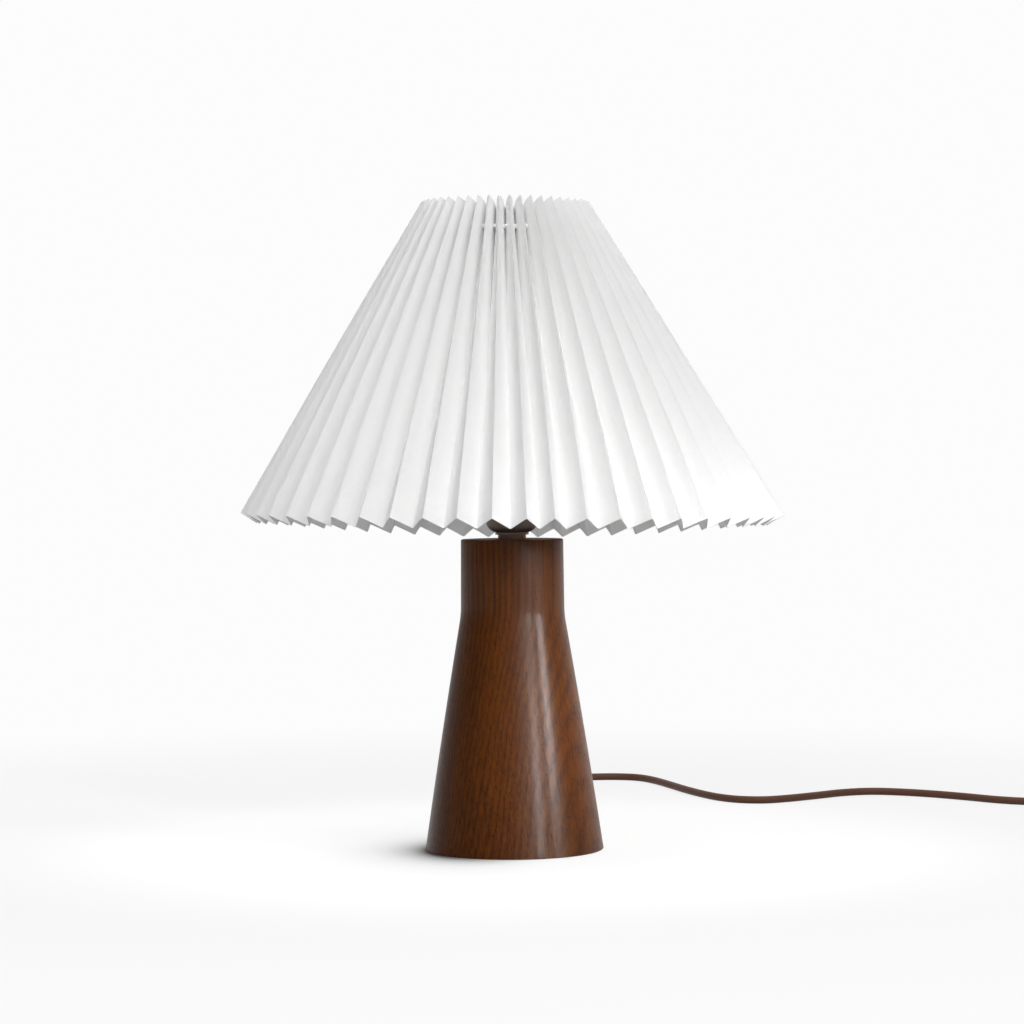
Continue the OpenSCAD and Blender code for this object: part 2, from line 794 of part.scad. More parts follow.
// A rounded rectangle, centred
module rounded(w, l, r) {
    square([w - 2 * r, l], center = true);
    square([w, l - 2 * r], center = true);
    for (x = [-1, 1], y = [-1, 1]) translate([x * (w / 2 - r), y * (l / 2 - r)])
        circle(r = r, $fn = small_fn);
}

switch_screw_at = [[-8.5, switch_len / 2 - 10], [8.5, 10 - switch_len / 2]];
module switch_bore() {
    translate([0, -switch_len / 2 - 1, switch_split]) rotate([-90, 0, 0])
        cylinder(r = cord_r + fit, h = 11, $fn = small_fn);
    translate([0, switch_len / 2 - 10, switch_split]) rotate([-90, 0, 0])
        cylinder(r = cord_r + fit, h = 11, $fn = small_fn);
}

module switch_base() {
    floor_t = 1.6;
    room = 1;
    color("saddlebrown") translate([0, switch_mid, 0]) difference() {
        linear_extrude(switch_split) rounded(switch_w, switch_len, switch_round);
        translate([-rocker_w / 2 - room, -rocker_len / 2 - room, floor_t])
            cube([rocker_w + 2 * room, rocker_len + 2 * room, switch_split]);
        switch_bore();
        for (p = switch_screw_at) translate([p.x, p.y, -1]) {
            cylinder(r = screw_r + fit, h = switch_split + 2, $fn = small_fn);
            cylinder(r = screw_head_r + fit, h = 4, $fn = small_fn);
        }
    }
}

module switch_cover() {
    color("saddlebrown") translate([0, switch_mid, 0]) difference() {
        hull() {
            translate([0, 0, switch_split]) linear_extrude(4)
                rounded(switch_w, switch_len, switch_round, $fn = 32);
            translate([0, 0, switch_h - 1]) linear_extrude(1)
                rounded(switch_w - 6, switch_len - 12, switch_round - 2, $fn = 32);
        }
        translate([-rocker_w / 2 - rocker_side_gap, -rocker_len / 2 - rocker_end_gap, switch_split - 1])
            cube([rocker_w + 2 * rocker_side_gap, rocker_len + 2 * rocker_end_gap, switch_h]);
        translate([-rocker_w / 2 - rocker_pin, 0, rocker_z]) rotate([0, 90, 0])
            cylinder(r = rocker_pin_r + running, h = rocker_w + 2 * rocker_pin, $fn = small_fn);
        switch_bore();
        for (p = switch_screw_at) translate([p.x, p.y, switch_split - 1])
            cylinder(r = screw_r + fit, h = 5.2, $fn = small_fn);
    }
}

// The rocker lies on its first stop at rest
module switch_rocker() {
    rise = 3.2;
    dish = 1.4;
    skirt = 2.5;
    half = rocker_len / 2;
    top = [for (i = [-6 : 6]) let (u = i / 6) [half * u, rise - dish * (1 - u * u)]];
    color("black") translate([0, switch_mid, rocker_z]) rotate([-rocker_travel / 2, 0, 0]) {
        rotate([90, 0, 90]) translate([0, 0, -rocker_w / 2]) linear_extrude(rocker_w)
            polygon(concat(top, [[half, 0], [4, -skirt], [-4, -skirt], [-half, 0]]));
        rotate([0, 90, 0]) translate([0, 0, -rocker_w / 2 - rocker_pin + 0.3])
            cylinder(r = rocker_pin_r, h = rocker_w + 2 * rocker_pin - 0.6, $fn = small_fn);
    }
}

module switch_screws() {
    color("silver") translate([0, switch_mid, 0]) for (p = switch_screw_at) translate([p.x, p.y, 0]) {
        translate([0, 0, 1]) cylinder(r = screw_head_r, h = 2, $fn = small_fn);
        translate([0, 0, 2]) cylinder(r = screw_r, h = switch_split + 1.7, $fn = small_fn);
    }
}

// A strap round the two turns that lie on each other
module coil_tie() {
    at = coil_turns / 2 - 0.5;
    p = coil_point(at);
    strap_t = 0.7;
    slack = 0.6;
    strap_w = 9;
    a = -90 + 360 * at;
    color("dimgray") translate([p.x, p.y, p.z]) rotate([0, 0, a]) rotate([90, 0, 0])
        translate([0, 0, -strap_w / 2]) linear_extrude(strap_w) difference() {
            strap_outline(cord_r + slack + strap_t);
            strap_outline(cord_r + slack);
        }
}

module strap_outline(r) {
    circle(r = r, $fn = small_fn);
    translate([0, layer_h]) circle(r = r, $fn = small_fn);
    translate([-r, 0]) square([2 * r, layer_h]);
}

module plug_body() {
    color("saddlebrown") difference() {
        union() {
            translate([plug_x, plug_y, plug_z]) rotate([-90, 0, 0])
                cylinder(r1 = boot_thin_r, r2 = boot_thick_r, h = boot_len, $fn = small_fn);
            translate([plug_x, plug_body_y, plug_z]) rotate([-90, 0, 0]) hull() {
                linear_extrude(1) rounded(plug_back_w, plug_t - 2, plug_round, $fn = 32);
                translate([0, 0, plug_len * 0.55]) linear_extrude(plug_len * 0.45)
                    rounded(plug_w, plug_t, plug_round, $fn = 32);
            }
        }
        at_pins(-pin_root - loose) cylinder(r = sleeve_r + fit, h = pin_root + loose + 1, $fn = small_fn);
    }
}

// Places children at both pins, at a distance out of the plug's face
module at_pins(out = 0) {
    for (x = [-1, 1]) translate([plug_x + x * pin_gap / 2, plug_end + out, plug_z])
        rotate([-90, 0, 0]) children();
}

// A pin is thin where its sleeve covers it
module plug_pins() {
    wall = pin_len - sleeve_len - pin_chamfer;
    color("silver") {
        at_pins(-pin_root) cylinder(r = pin_core_r, h = pin_root + sleeve_len, $fn = small_fn);
        at_pins(sleeve_len) cylinder(r = pin_r, h = wall, $fn = small_fn);
        at_pins(sleeve_len + wall)
            cylinder(r1 = pin_r, r2 = pin_r - pin_chamfer, h = pin_chamfer, $fn = small_fn);
    }
}

// The sleeves narrow a little towards the tips
module pin_sleeves() {
    length = pin_root + sleeve_len - running;
    color("black") at_pins(-pin_root) difference() {
        cylinder(r1 = sleeve_r, r2 = sleeve_r - sleeve_draft, h = length, $fn = small_fn);
        translate([0, 0, -eps]) cylinder(r = pin_core_r + running, h = length + 2 * eps, $fn = small_fn);
    }
}

wood_base();
felt_pad();
base_plate();
plate_screws();
base_weight();
threaded_tube();
tube_washer();
tube_nut();
neck_nut();
cup_washer();
cup_nut();
holder_cup();
holder_insert();
terminal_screws();
centre_contact();
socket_thread();
holder_shell();
shade_ring();
bulb_globe();
bulb_cap();
bulb_insulator();
bulb_contact();
carrier_fitter();
carrier_legs();
carrier_ring();
pleated_shade();
gathering_cord();
cord_bush();
cord_clamp();
clamp_screws();
inner_lead();
lead_cores();
cord_lead();
switch_base();
switch_cover();
switch_rocker();
switch_screws();
cord_run();
cord_coil();
coil_tie();
plug_body();
plug_pins();
pin_sleeves();
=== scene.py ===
"""Table lamp: a pleated cone shade on a turned wooden base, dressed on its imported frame."""

import math

import bmesh
import bpy
import numpy as np
from bpy.props import FloatProperty, FloatVectorProperty, IntProperty, PointerProperty
from mathutils import Matrix, Vector


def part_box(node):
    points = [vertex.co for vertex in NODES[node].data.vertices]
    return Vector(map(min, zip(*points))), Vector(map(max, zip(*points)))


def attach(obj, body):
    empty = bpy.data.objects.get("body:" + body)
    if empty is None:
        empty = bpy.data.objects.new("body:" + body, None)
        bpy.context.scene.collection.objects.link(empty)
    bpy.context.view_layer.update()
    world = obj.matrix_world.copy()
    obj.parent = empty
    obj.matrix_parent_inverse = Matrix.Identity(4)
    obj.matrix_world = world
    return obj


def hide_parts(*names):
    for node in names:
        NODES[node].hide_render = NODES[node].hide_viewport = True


bl_info = {
    "name": "Pleated table lamp",
    "version": (1, 0, 0),
    "blender": (4, 5, 0),
    "location": "3D View > Sidebar > Table lamp",
    "description": "Dresses the frame of a table lamp with wood, pleated sheet, metal and cord",
    "category": "Object",
}

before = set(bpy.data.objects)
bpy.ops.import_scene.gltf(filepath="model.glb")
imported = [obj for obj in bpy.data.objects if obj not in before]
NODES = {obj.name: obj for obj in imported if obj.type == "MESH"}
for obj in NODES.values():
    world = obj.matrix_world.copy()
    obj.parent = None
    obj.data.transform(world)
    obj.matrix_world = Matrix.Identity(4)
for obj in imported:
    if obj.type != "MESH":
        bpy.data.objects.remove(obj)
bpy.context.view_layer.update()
MM = 0.001

BASE_LOW, BASE_HIGH = (Vector(corner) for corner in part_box("wood_base"))
CORD_EXIT = Vector((0.0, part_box("cord_bush")[1][1], 0.010))
SWITCH_LOW, SWITCH_HIGH = (Vector(corner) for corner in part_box("switch_base"))


def size(name, about, default, unit="LENGTH"):
    """A length that a user may change, in metres."""
    return FloatProperty(name=name, description=about, default=default, unit=unit, precision=5)


def angle(name, about, degrees):
    """An angle that a user may change."""
    return FloatProperty(name=name, description=about, default=math.radians(degrees), subtype="ANGLE")


def share(name, about, default):
    """A plain number between nothing and all."""
    return FloatProperty(name=name, description=about, default=default, min=0.0, max=1.0, subtype="FACTOR")


def brightness(name, about, default):
    """A strength of light, where 1 is white."""
    return FloatProperty(name=name, description=about, default=default)


def tint(name, about, default):
    """A colour that a user may change."""
    return FloatVectorProperty(
        name=name, description=about, default=default, size=3, min=0.0, max=1.0, subtype="COLOR"
    )


class BaseSettings(bpy.types.PropertyGroup):
    foot_radius: size("Foot radius", "Radius of the wood at the table", BASE_HIGH.x)
    neck_radius: size("Neck radius", "Radius of the neck where it meets the cone", 0.0432)
    neck_taper: size("Neck taper", "How much thinner the neck is at its top", 0.001)
    bend_height: size("Bend height", "Height at which the cone turns into the neck", 0.196)
    bend_length: size("Bend length", "Height over which it turns", 0.014)
    cone_bow: size("Cone bow", "How far the cone's side bows outwards", 0.0006)
    edge_radius: size("Edge radius", "Rounding of the outer edges", 0.0015)
    recess_radius: size("Recess radius", "Radius of the recess under the wood", 0.056)
    recess_height: size("Recess height", "Height of the recess's ceiling", 0.042)
    plate_radius: size("Plate seat radius", "Radius of the seat of the closing plate", 0.0661)
    plate_height: size("Plate seat height", "Depth of the seat of the closing plate", 0.0035)
    wood_light: tint("Light wood", "Stained wood between the pores", (0.139, 0.0405, 0.0044))
    wood_dark: tint("Dark wood", "Stained wood in the dark bands", (0.060, 0.0150, 0.0020))
    pore: tint("Pores", "Stain that filled the open pores", (0.022, 0.008, 0.004))


class HolderSettings(bpy.types.PropertyGroup):
    knurl_pitch: size("Knurl pitch", "Distance between the ridges of the knurl", 0.0016)
    knurl_depth: size("Knurl depth", "Depth of the grooves of the knurl", 0.00025)
    knurled: tint("Knurled bronze", "Worn bronze plating of the knurled cup", (0.45, 0.33, 0.29))
    bronze: tint("Bronze", "Dark bronze plating", (0.21, 0.13, 0.098))


class ShadeSettings(bpy.types.PropertyGroup):
    pleats: IntProperty(name="Pleats", description="Number of pleats", default=52, min=12, max=96)
    panel_width: size("Panel width", "Width of the flat panel between two folds", 0.0206)
    fold_length: size("Fold length", "Length of a fold from top to hem", 0.303)
    fold_head: size("Fold head", "Length of a fold above the carrier's ring", 0.01775)
    seat_radius: size("Seat radius", "Radius of the inner folds at the carrier's ring", 0.0615)
    seat_height: size("Seat height", "Height of the carrier's ring", 0.514)
    seat_offset: size("Seat offset", "How far the carrier's ring stands to the left", 0.003)
    slope: angle("Slope", "Slope of the inner folds from upright", 31.75)
    back_tuck: angle("Back tuck", "How much steeper the folds hang at the back", 6.5)
    seat_tilt: angle("Seat tilt", "How far the carrier's ring dips to the right", 0.75)
    phase: angle("First fold", "Azimuth of the first outer fold", -93.8)
    top_spread: angle("Top spread", "How far the front folds are drawn apart at the top", 8.5)
    hem_pinch: angle("Hem pinch", "How far the folds right of the front are pushed back at the hem", 2.2)
    stray: angle("Stray", "How far single folds stray from their places at the top", 0.15)
    thickness: size("Thickness", "Thickness of the pleated sheet", 0.0005)
    light_reach: size("Light reach", "How far light spreads inside the pleated sheet", 0.0008)
    thread_radius: size("Thread radius", "Half the thickness of the gathering cord", 0.0020)
    thread_stand: size("Thread stand", "How far the gathering cord stands out from the inner folds", 0.0075)
    sheet_white: tint("Sheet", "White of the pleated sheet", (0.945, 0.945, 0.94))
    thread_white: tint("Thread", "White of the gathering cord", (0.90, 0.90, 0.89))


class CordSettings(bpy.types.PropertyGroup):
    radius: size("Cord radius", "Half the diameter of the cord", 0.0035)
    coil_radius: size("Coil radius", "Radius of the coil's outermost turn", 0.042)
    coil_turns: FloatProperty(
        name="Coil turns", description="Turns in the coil, with the quarter turn that leaves it", default=2.25
    )
    sheath: tint("Sheath", "Brown sheath of the cord", (0.135, 0.062, 0.039))


class StageSettings(bpy.types.PropertyGroup):
    camera_distance: size("Camera distance", "Distance from the camera to the lamp's axis", 2.533)
    camera_height: size("Camera height", "Height of the camera over the table", 0.3197)
    camera_roll: angle("Camera roll", "Turn of the camera about its own axis", -0.487)
    background: brightness("Background", "Brightness of the floor and backdrop", 0.974)
    room_light: brightness("Room light", "Brightness of the room in front", 0.22)
    back_light: brightness("Back light", "Brightness of the room behind the lamp", 1.0)
    # Painted shadow: how far and how much the floor's glow is darkened at the foot's left
    painted_shadow_depth: share("Shadow", "How much the floor's own light dims at the foot's left", 0.95)
    painted_shadow_reach: size("Shadow reach", "Distance over which that dimming fades", 0.022)


SETTINGS = {
    "lamp_base": BaseSettings,
    "lamp_holder": HolderSettings,
    "lamp_shade": ShadeSettings,
    "lamp_cord": CordSettings,
    "lamp_stage": StageSettings,
}


# Handling of objects and meshes

def hold(obj):
    """Makes obj the only selected and the active object."""
    bpy.ops.object.select_all(action="DESELECT")
    obj.select_set(True)
    bpy.context.view_layer.objects.active = obj


class Editing:
    """Edit mode on one object, with nothing selected at the start."""

    def __init__(self, obj, element="VERT"):
        self.obj = obj
        self.element = element

    def __enter__(self):
        hold(self.obj)
        bpy.ops.object.mode_set(mode="EDIT")
        bpy.ops.mesh.select_mode(type=self.element)
        bpy.ops.mesh.select_all(action="DESELECT")
        return self

    def __exit__(self, *problem):
        bpy.ops.object.mode_set(mode="OBJECT")

    def select(self, kind, test):
        """Selects the verts, edges or faces that pass the test, and says how many did."""
        mesh = bmesh.from_edit_mesh(self.obj.data)
        found = 0
        for element in getattr(mesh, kind):
            if test(element):
                element.select = True
                found += 1
        mesh.select_flush(True)
        bmesh.update_edit_mesh(self.obj.data)
        return found


def settle(obj, name):
    """Puts the object's place into its mesh and names it."""
    hold(obj)
    bpy.ops.object.transform_apply(location=True, rotation=True, scale=True)
    obj.name = name
    obj.data.name = name
    return obj


def apply_modifier(obj, kind, **values):
    """Adds a modifier, sets its values and applies it."""
    hold(obj)
    modifier = obj.modifiers.new(kind.title(), kind)
    for key, value in values.items():
        setattr(modifier, key, value)
    bpy.ops.object.modifier_apply(modifier=modifier.name)


def soften(obj, degrees=35):
    """Smooth shading, with the sharper edges kept."""
    hold(obj)
    bpy.ops.object.shade_smooth_by_angle(angle=math.radians(degrees))


def turned(name, profile, steps=128, degrees=35):
    """Turns a closed piece about +Z from its outline of (radius, height) points.
    The first ring is extruded from point to point. An outline that starts and ends on the axis is
    closed there, and any other one is closed on itself."""
    on_axis = profile[0][0] == 0 and profile[-1][0] == 0
    points = profile[1:-1] if on_axis else profile
    r, z = points[0]
    bpy.ops.object.select_all(action="DESELECT")
    bpy.ops.mesh.primitive_circle_add(vertices=steps, radius=r, location=(0, 0, z))
    piece = settle(bpy.context.object, name)
    with Editing(piece) as edit:
        bpy.ops.mesh.select_all(action="SELECT")
        if on_axis:
            bpy.ops.mesh.extrude_region_move()
            bpy.ops.transform.translate(value=(0, 0, profile[0][1] - z))
            bpy.ops.mesh.merge(type="CENTER")
            bpy.ops.mesh.select_all(action="DESELECT")
            edit.select("verts", lambda v: math.hypot(v.co.x, v.co.y) > r * 0.9)
        for next_r, next_z in points[1:]:
            bpy.ops.mesh.extrude_region_move()
            bpy.ops.transform.translate(value=(0, 0, next_z - z))
            bpy.ops.transform.resize(value=(next_r / r, next_r / r, 1), center_override=(0, 0, next_z))
            r, z = next_r, next_z
        bpy.ops.mesh.extrude_region_move()
        if on_axis:
            bpy.ops.transform.translate(value=(0, 0, profile[-1][1] - z))
            bpy.ops.mesh.merge(type="CENTER")
        else:
            first_r, first_z = points[0]
            bpy.ops.transform.translate(value=(0, 0, first_z - z))
            bpy.ops.transform.resize(
                value=(first_r / r, first_r / r, 1), center_override=(0, 0, first_z)
            )
        bpy.ops.mesh.select_all(action="SELECT")
        bpy.ops.mesh.remove_doubles(threshold=1e-6)
        bpy.ops.mesh.normals_make_consistent(inside=False)
    soften(piece, degrees)
    return piece


def arc(centre, r, start, end, steps):
    """Points of a rounded edge, from one angle to another in degrees."""
    return [
        (
            centre[0] + r * math.cos(math.radians(start + (end - start) * i / steps)),
            centre[1] + r * math.sin(math.radians(start + (end - start) * i / steps)),
        )
        for i in range(steps + 1)
    ]


def dress(obj, material):
    """Gives the object one material."""
    obj.data.materials.clear()
    obj.data.materials.append(material)
    return obj


def finish_node(node, material):
    """Gives a CAD node its material."""
    obj = NODES[node]
    for slot in obj.material_slots:
        slot.material = material
    if not obj.material_slots:
        obj.data.materials.append(material)


# Handling of materials

def add_node(tree, kind, inputs=None, **settings):
    """Adds a node, with its settings and its inputs' links or values."""
    made = tree.nodes.new(kind)
    for key, value in settings.items():
        setattr(made, key, value)
    for key, value in (inputs or {}).items():
        socket = made.inputs[key]
        if isinstance(value, bpy.types.NodeSocket):
            tree.links.new(value, socket)
        else:
            socket.default_value = value
    return made


def calc(tree, operation, *values, clamp=False):
    """A Math node's result."""
    inputs = dict(enumerate(values))
    return add_node(tree, "ShaderNodeMath", inputs, operation=operation, use_clamp=clamp).outputs[0]


def weighted(tree, *parts):
    """The sum of values that each count by their weight."""
    total = 0.0
    for value, weight in parts:
        total = calc(tree, "ADD", total, calc(tree, "MULTIPLY", value, weight))
    return total


def xyz(tree, vector):
    """The three parts of a vector."""
    return tuple(add_node(tree, "ShaderNodeSeparateXYZ", {0: vector}).outputs)


def bare_tree(owner):
    """The emptied node tree of a material or world."""
    owner.use_nodes = True
    owner.node_tree.nodes.clear()
    return owner.node_tree


def blend_colours(tree, factor, a, b, mode="MIX"):
    """Two colours mixed by a factor."""
    made = add_node(
        tree, "ShaderNodeMix", {0: factor, 6: a, 7: b}, data_type="RGBA", blend_type=mode
    )
    return made.outputs[2]


def rgba(colour):
    """A colour with full alpha."""
    return (*colour, 1.0)


def noise(tree, vector, scale, detail=2.0, roughness=0.5, distortion=0.0):
    """A noise texture's value, from 0 to 1."""
    made = add_node(
        tree,
        "ShaderNodeTexNoise",
        {
            "Vector": vector,
            "Scale": scale,
            "Detail": detail,
            "Roughness": roughness,
            "Distortion": distortion,
        },
    )
    return made.outputs["Fac"]


def stretched(tree, vector, scale):
    """The vector scaled along each axis."""
    made = add_node(tree, "ShaderNodeMapping", {"Vector": vector, "Scale": scale})
    return made.outputs["Vector"]


def limits(tree, value, low, high, to_low=0.0, to_high=1.0, kind="SMOOTHSTEP"):
    """A value's range turned into another."""
    made = add_node(
        tree,
        "ShaderNodeMapRange",
        {0: value, 1: low, 2: high, 3: to_low, 4: to_high},
        interpolation_type=kind,
    )
    return made.outputs[0]


def effect(name, sockets_in, sockets_out, build):
    """A shader node group, built once."""
    if name in bpy.data.node_groups:
        return bpy.data.node_groups[name]
    group = bpy.data.node_groups.new(name, "ShaderNodeTree")
    kinds = {"colour": "NodeSocketColor", "value": "NodeSocketFloat", "vector": "NodeSocketVector"}
    for label, kind, default in sockets_in:
        socket = group.interface.new_socket(label, in_out="INPUT", socket_type=kinds[kind])
        if default is not None:
            socket.default_value = default
    for label, kind in sockets_out:
        group.interface.new_socket(label, in_out="OUTPUT", socket_type=kinds[kind])
    entry = group.nodes.new("NodeGroupInput")
    result = group.nodes.new("NodeGroupOutput")
    for label, socket in build(group, entry.outputs).items():
        group.links.new(socket, result.inputs[label])
    return group


def place_effect(tree, group, values):
    """Places an effect in a material, with its own values, and gives its outputs."""
    return add_node(tree, "ShaderNodeGroup", values, node_tree=group).outputs


def grain_effect():
    """Stained ring-porous wood: growth bands, fine fibres and short open pores along Z."""

    def build(tree, given):
        place = given["Vector"]
        x, y, _ = xyz(tree, place)
        sway = noise(tree, stretched(tree, place, (9, 9, 3.2)), 1.0, 2.0)
        sway = calc(tree, "MULTIPLY", calc(tree, "SUBTRACT", sway, 0.5), 0.034)
        from_pith = calc(
            tree,
            "SQRT",
            calc(
                tree,
                "ADD",
                calc(tree, "POWER", calc(tree, "ADD", x, 0.085), 2.0),
                calc(tree, "POWER", calc(tree, "SUBTRACT", y, 0.030), 2.0),
            ),
        )
        rings = calc(tree, "DIVIDE", calc(tree, "ADD", from_pith, sway), given["Ring width"])
        ring = calc(tree, "FRACT", rings)
        early = limits(tree, calc(tree, "PINGPONG", ring, 0.5), 0.10, 0.32, 1.0, 0.0)
        fibre = noise(tree, stretched(tree, place, (750, 750, 11)), 1.0, 4.0, 0.65)
        broad = noise(tree, stretched(tree, place, (70, 70, 3)), 1.0, 2.0)
        pores = noise(tree, stretched(tree, place, (1150, 1150, 230)), 1.0, 1.0)
        pore = limits(tree, weighted(tree, (pores, 1.0), (early, 0.055)), 0.645, 0.715)
        band = weighted(tree, (fibre, 0.78), (early, 0.09), (broad, 0.26))
        wood = blend_colours(tree, limits(tree, band, 0.33, 0.78), given["Light"], given["Dark"])
        colour = blend_colours(tree, calc(tree, "MULTIPLY", pore, 0.65), wood, given["Pore"])
        height = calc(tree, "SUBTRACT", calc(tree, "MULTIPLY", fibre, 0.25), pore)
        rough = calc(tree, "ADD", given["Roughness"], calc(tree, "MULTIPLY", pore, 0.25))
        return {"Colour": colour, "Roughness": rough, "Height": height}

    return effect(
        "Stained grain",
        [
            ("Vector", "vector", None),
            ("Light", "colour", (0.15, 0.06, 0.02, 1)),
            ("Dark", "colour", (0.06, 0.02, 0.01, 1)),
            ("Pore", "colour", (0.02, 0.01, 0.005, 1)),
            ("Ring width", "value", 0.0045),
            ("Roughness", "value", 0.4),
        ],
        [("Colour", "colour"), ("Roughness", "value"), ("Height", "value")],
        build,
    )


def mottle_effect():
    """Slight unevenness of a moulded, plated or powder-coated surface."""

    def build(tree, given):
        place = given["Vector"]
        broad = noise(tree, place, calc(tree, "MULTIPLY", given["Scale"], 0.08), 3.0)
        fine = noise(tree, place, given["Scale"], 3.0, 0.6)
        lift = weighted(tree, (broad, 0.6), (fine, 0.4))
        shade = limits(tree, lift, 0.3, 0.7, 1.0, 0.0, "LINEAR")
        colour = blend_colours(
            tree,
            calc(tree, "MULTIPLY", shade, given["Variation"]),
            given["Colour"],
            given["Second"],
        )
        rough = calc(
            tree, "ADD", given["Roughness"], calc(tree, "MULTIPLY", calc(tree, "SUBTRACT", fine, 0.5), 0.14)
        )
        return {"Colour": colour, "Roughness": rough, "Height": fine}

    return effect(
        "Fine mottle",
        [
            ("Vector", "vector", None),
            ("Colour", "colour", (0.5, 0.5, 0.5, 1)),
            ("Second", "colour", (0.3, 0.3, 0.3, 1)),
            ("Variation", "value", 0.5),
            ("Scale", "value", 1500.0),
            ("Roughness", "value", 0.5),
        ],
        [("Colour", "colour"), ("Roughness", "value"), ("Height", "value")],
        build,
    )


def knurl_effect():
    """Diamond knurl of two crossing sets of ridges round Z, with a mask of its grooves that the material
    darkens as painted shade.
    """

    def build(tree, given):
        x, y, z = xyz(tree, given["Vector"])
        round_z = calc(tree, "ARCTAN2", y, x)
        turn = calc(tree, "DIVIDE", calc(tree, "MULTIPLY", round_z, given["Radius"]), given["Pitch"])
        rise = calc(tree, "DIVIDE", z, given["Pitch"])
        ridges = []
        for operation in ("ADD", "SUBTRACT"):
            wave = calc(tree, "FRACT", calc(tree, operation, turn, rise))
            ridges.append(calc(tree, "PINGPONG", wave, 0.5))
        height = calc(tree, "MINIMUM", *ridges)
        return {"Height": height, "Groove": limits(tree, height, 0.0, 0.20, 1.0, 0.0)}

    return effect(
        "Diamond knurl",
        [("Vector", "vector", None), ("Radius", "value", 0.0217), ("Pitch", "value", 0.0011)],
        [("Height", "value"), ("Groove", "value")],
        build,
    )


def weave_effect():
    """Fine plain weave of the textile on the pleated sheet, along its UV map."""

    def build(tree, given):
        u, v, _ = xyz(tree, given["Vector"])
        across = calc(tree, "MULTIPLY", u, given["Across"])
        along = calc(tree, "MULTIPLY", v, given["Along"])
        warp = calc(tree, "SINE", calc(tree, "MULTIPLY", across, 2 * math.pi))
        weft = calc(tree, "SINE", calc(tree, "MULTIPLY", along, 2 * math.pi))
        height = calc(tree, "MULTIPLY", warp, weft)
        slub = noise(tree, stretched(tree, given["Vector"], (900, 60, 1)), 1.0, 2.0)
        shade = limits(tree, slub, 0.3, 0.7, 0.0, 1.0, "LINEAR")
        colour = blend_colours(tree, shade, given["Colour"], given["Second"])
        return {"Colour": colour, "Height": calc(tree, "ADD", height, slub)}

    return effect(
        "Fine weave",
        [
            ("Vector", "vector", None),
            ("Colour", "colour", (0.9, 0.9, 0.9, 1)),
            ("Second", "colour", (0.85, 0.85, 0.85, 1)),
            ("Across", "value", 4000.0),
            ("Along", "value", 600.0),
        ],
        [("Colour", "colour"), ("Height", "value")],
        build,
    )


def twist_effect():
    """Strands of a twisted thread, along its UV map: around it in X and across it in Y, with painted shade in
    the grooves between them.
    """

    def build(tree, given):
        u, v, _ = xyz(tree, given["Vector"])
        strand = calc(tree, "FRACT", weighted(tree, (u, given["Twists"]), (v, 3.0)))
        height = calc(tree, "SINE", calc(tree, "MULTIPLY", strand, math.pi))
        hair = noise(tree, stretched(tree, given["Vector"], (2400, 90, 1)), 1.0, 2.0)
        # Painted shade: the grooves between the strands are darkened in colour
        groove = limits(tree, height, 0.0, 0.6, 1.0, 0.0)
        shade = calc(tree, "MULTIPLY", groove, 0.35)
        painted_shade = blend_colours(tree, 1.0, given["Colour"], (0.6, 0.6, 0.6, 1.0), "MULTIPLY")
        colour = blend_colours(tree, shade, given["Colour"], painted_shade)
        return {"Colour": colour, "Height": weighted(tree, (height, 1.0), (hair, 0.15))}

    return effect(
        "Twisted strands",
        [("Vector", "vector", None), ("Colour", "colour", (0.9, 0.9, 0.9, 1)), ("Twists", "value", 130.0)],
        [("Colour", "colour"), ("Height", "value")],
        build,
    )


def new_material(name, fixed):
    """A material with one Principled shader, and the values that are the same all over."""
    material = bpy.data.materials.new(name)
    tree = bare_tree(material)
    shader = add_node(tree, "ShaderNodeBsdfPrincipled", fixed)
    add_node(tree, "ShaderNodeOutputMaterial", {"Surface": shader.outputs[0]})
    return material, tree, shader


def bump(tree, shader, height, distance, strength=1.0):
    """Feeds a height into the shader's normal."""
    made = add_node(
        tree, "ShaderNodeBump", {"Height": height, "Distance": distance, "Strength": strength}
    )
    tree.links.new(made.outputs[0], shader.inputs["Normal"])


def paint(tree, shader, out, relief, strength=1.0):
    """Feeds an effect's colour, roughness and height into the shader."""
    tree.links.new(out["Colour"], shader.inputs["Base Color"])
    if "Roughness" in out:
        tree.links.new(out["Roughness"], shader.inputs["Roughness"])
    bump(tree, shader, out["Height"], relief, strength)


def object_place(tree):
    """The surface's place in the piece's own space."""
    return tree.nodes.new("ShaderNodeTexCoord").outputs["Object"]


def darker(colour, share_left):
    """A colour dimmed to a share of itself."""
    return tuple(channel * share_left for channel in colour)


def wood_material(settings):
    material, tree, shader = new_material(
        "stained_wood", {"Specular IOR Level": 0.12, "Coat Weight": 0.17, "Coat Roughness": 0.25}
    )
    out = place_effect(
        tree,
        grain_effect(),
        {
            "Vector": object_place(tree),
            "Light": rgba(settings.wood_light),
            "Dark": rgba(settings.wood_dark),
            "Pore": rgba(settings.pore),
            "Ring width": 0.0045,
            "Roughness": 0.40,
        },
    )
    paint(tree, shader, out, 0.00012, 0.5)
    return material


def mottled(tree, colour, second, variation, scale, roughness):
    """Places the mottle in a material."""
    values = {"Colour": rgba(colour), "Second": rgba(second), "Variation": variation}
    values.update({"Vector": object_place(tree), "Scale": scale, "Roughness": roughness})
    return place_effect(tree, mottle_effect(), values)


def surface_material(name, colour, roughness, variation=0.4, scale=1500.0, relief=0.00002, **fixed):
    """Moulded, plated, cast or coated surface with a fine unevenness."""
    material, tree, shader = new_material(name, {key.replace("_", " "): v for key, v in fixed.items()})
    out = mottled(tree, colour, darker(colour, 0.8), variation, scale, roughness)
    paint(tree, shader, out, relief)
    return material


def coat(nodes, name, colour, *values, **fixed):
    """Gives one new surface to CAD nodes, whose names are parted by spaces."""
    material = surface_material(name, colour, *values, **fixed)
    for node in nodes.split():
        finish_node(node, material)
    return material


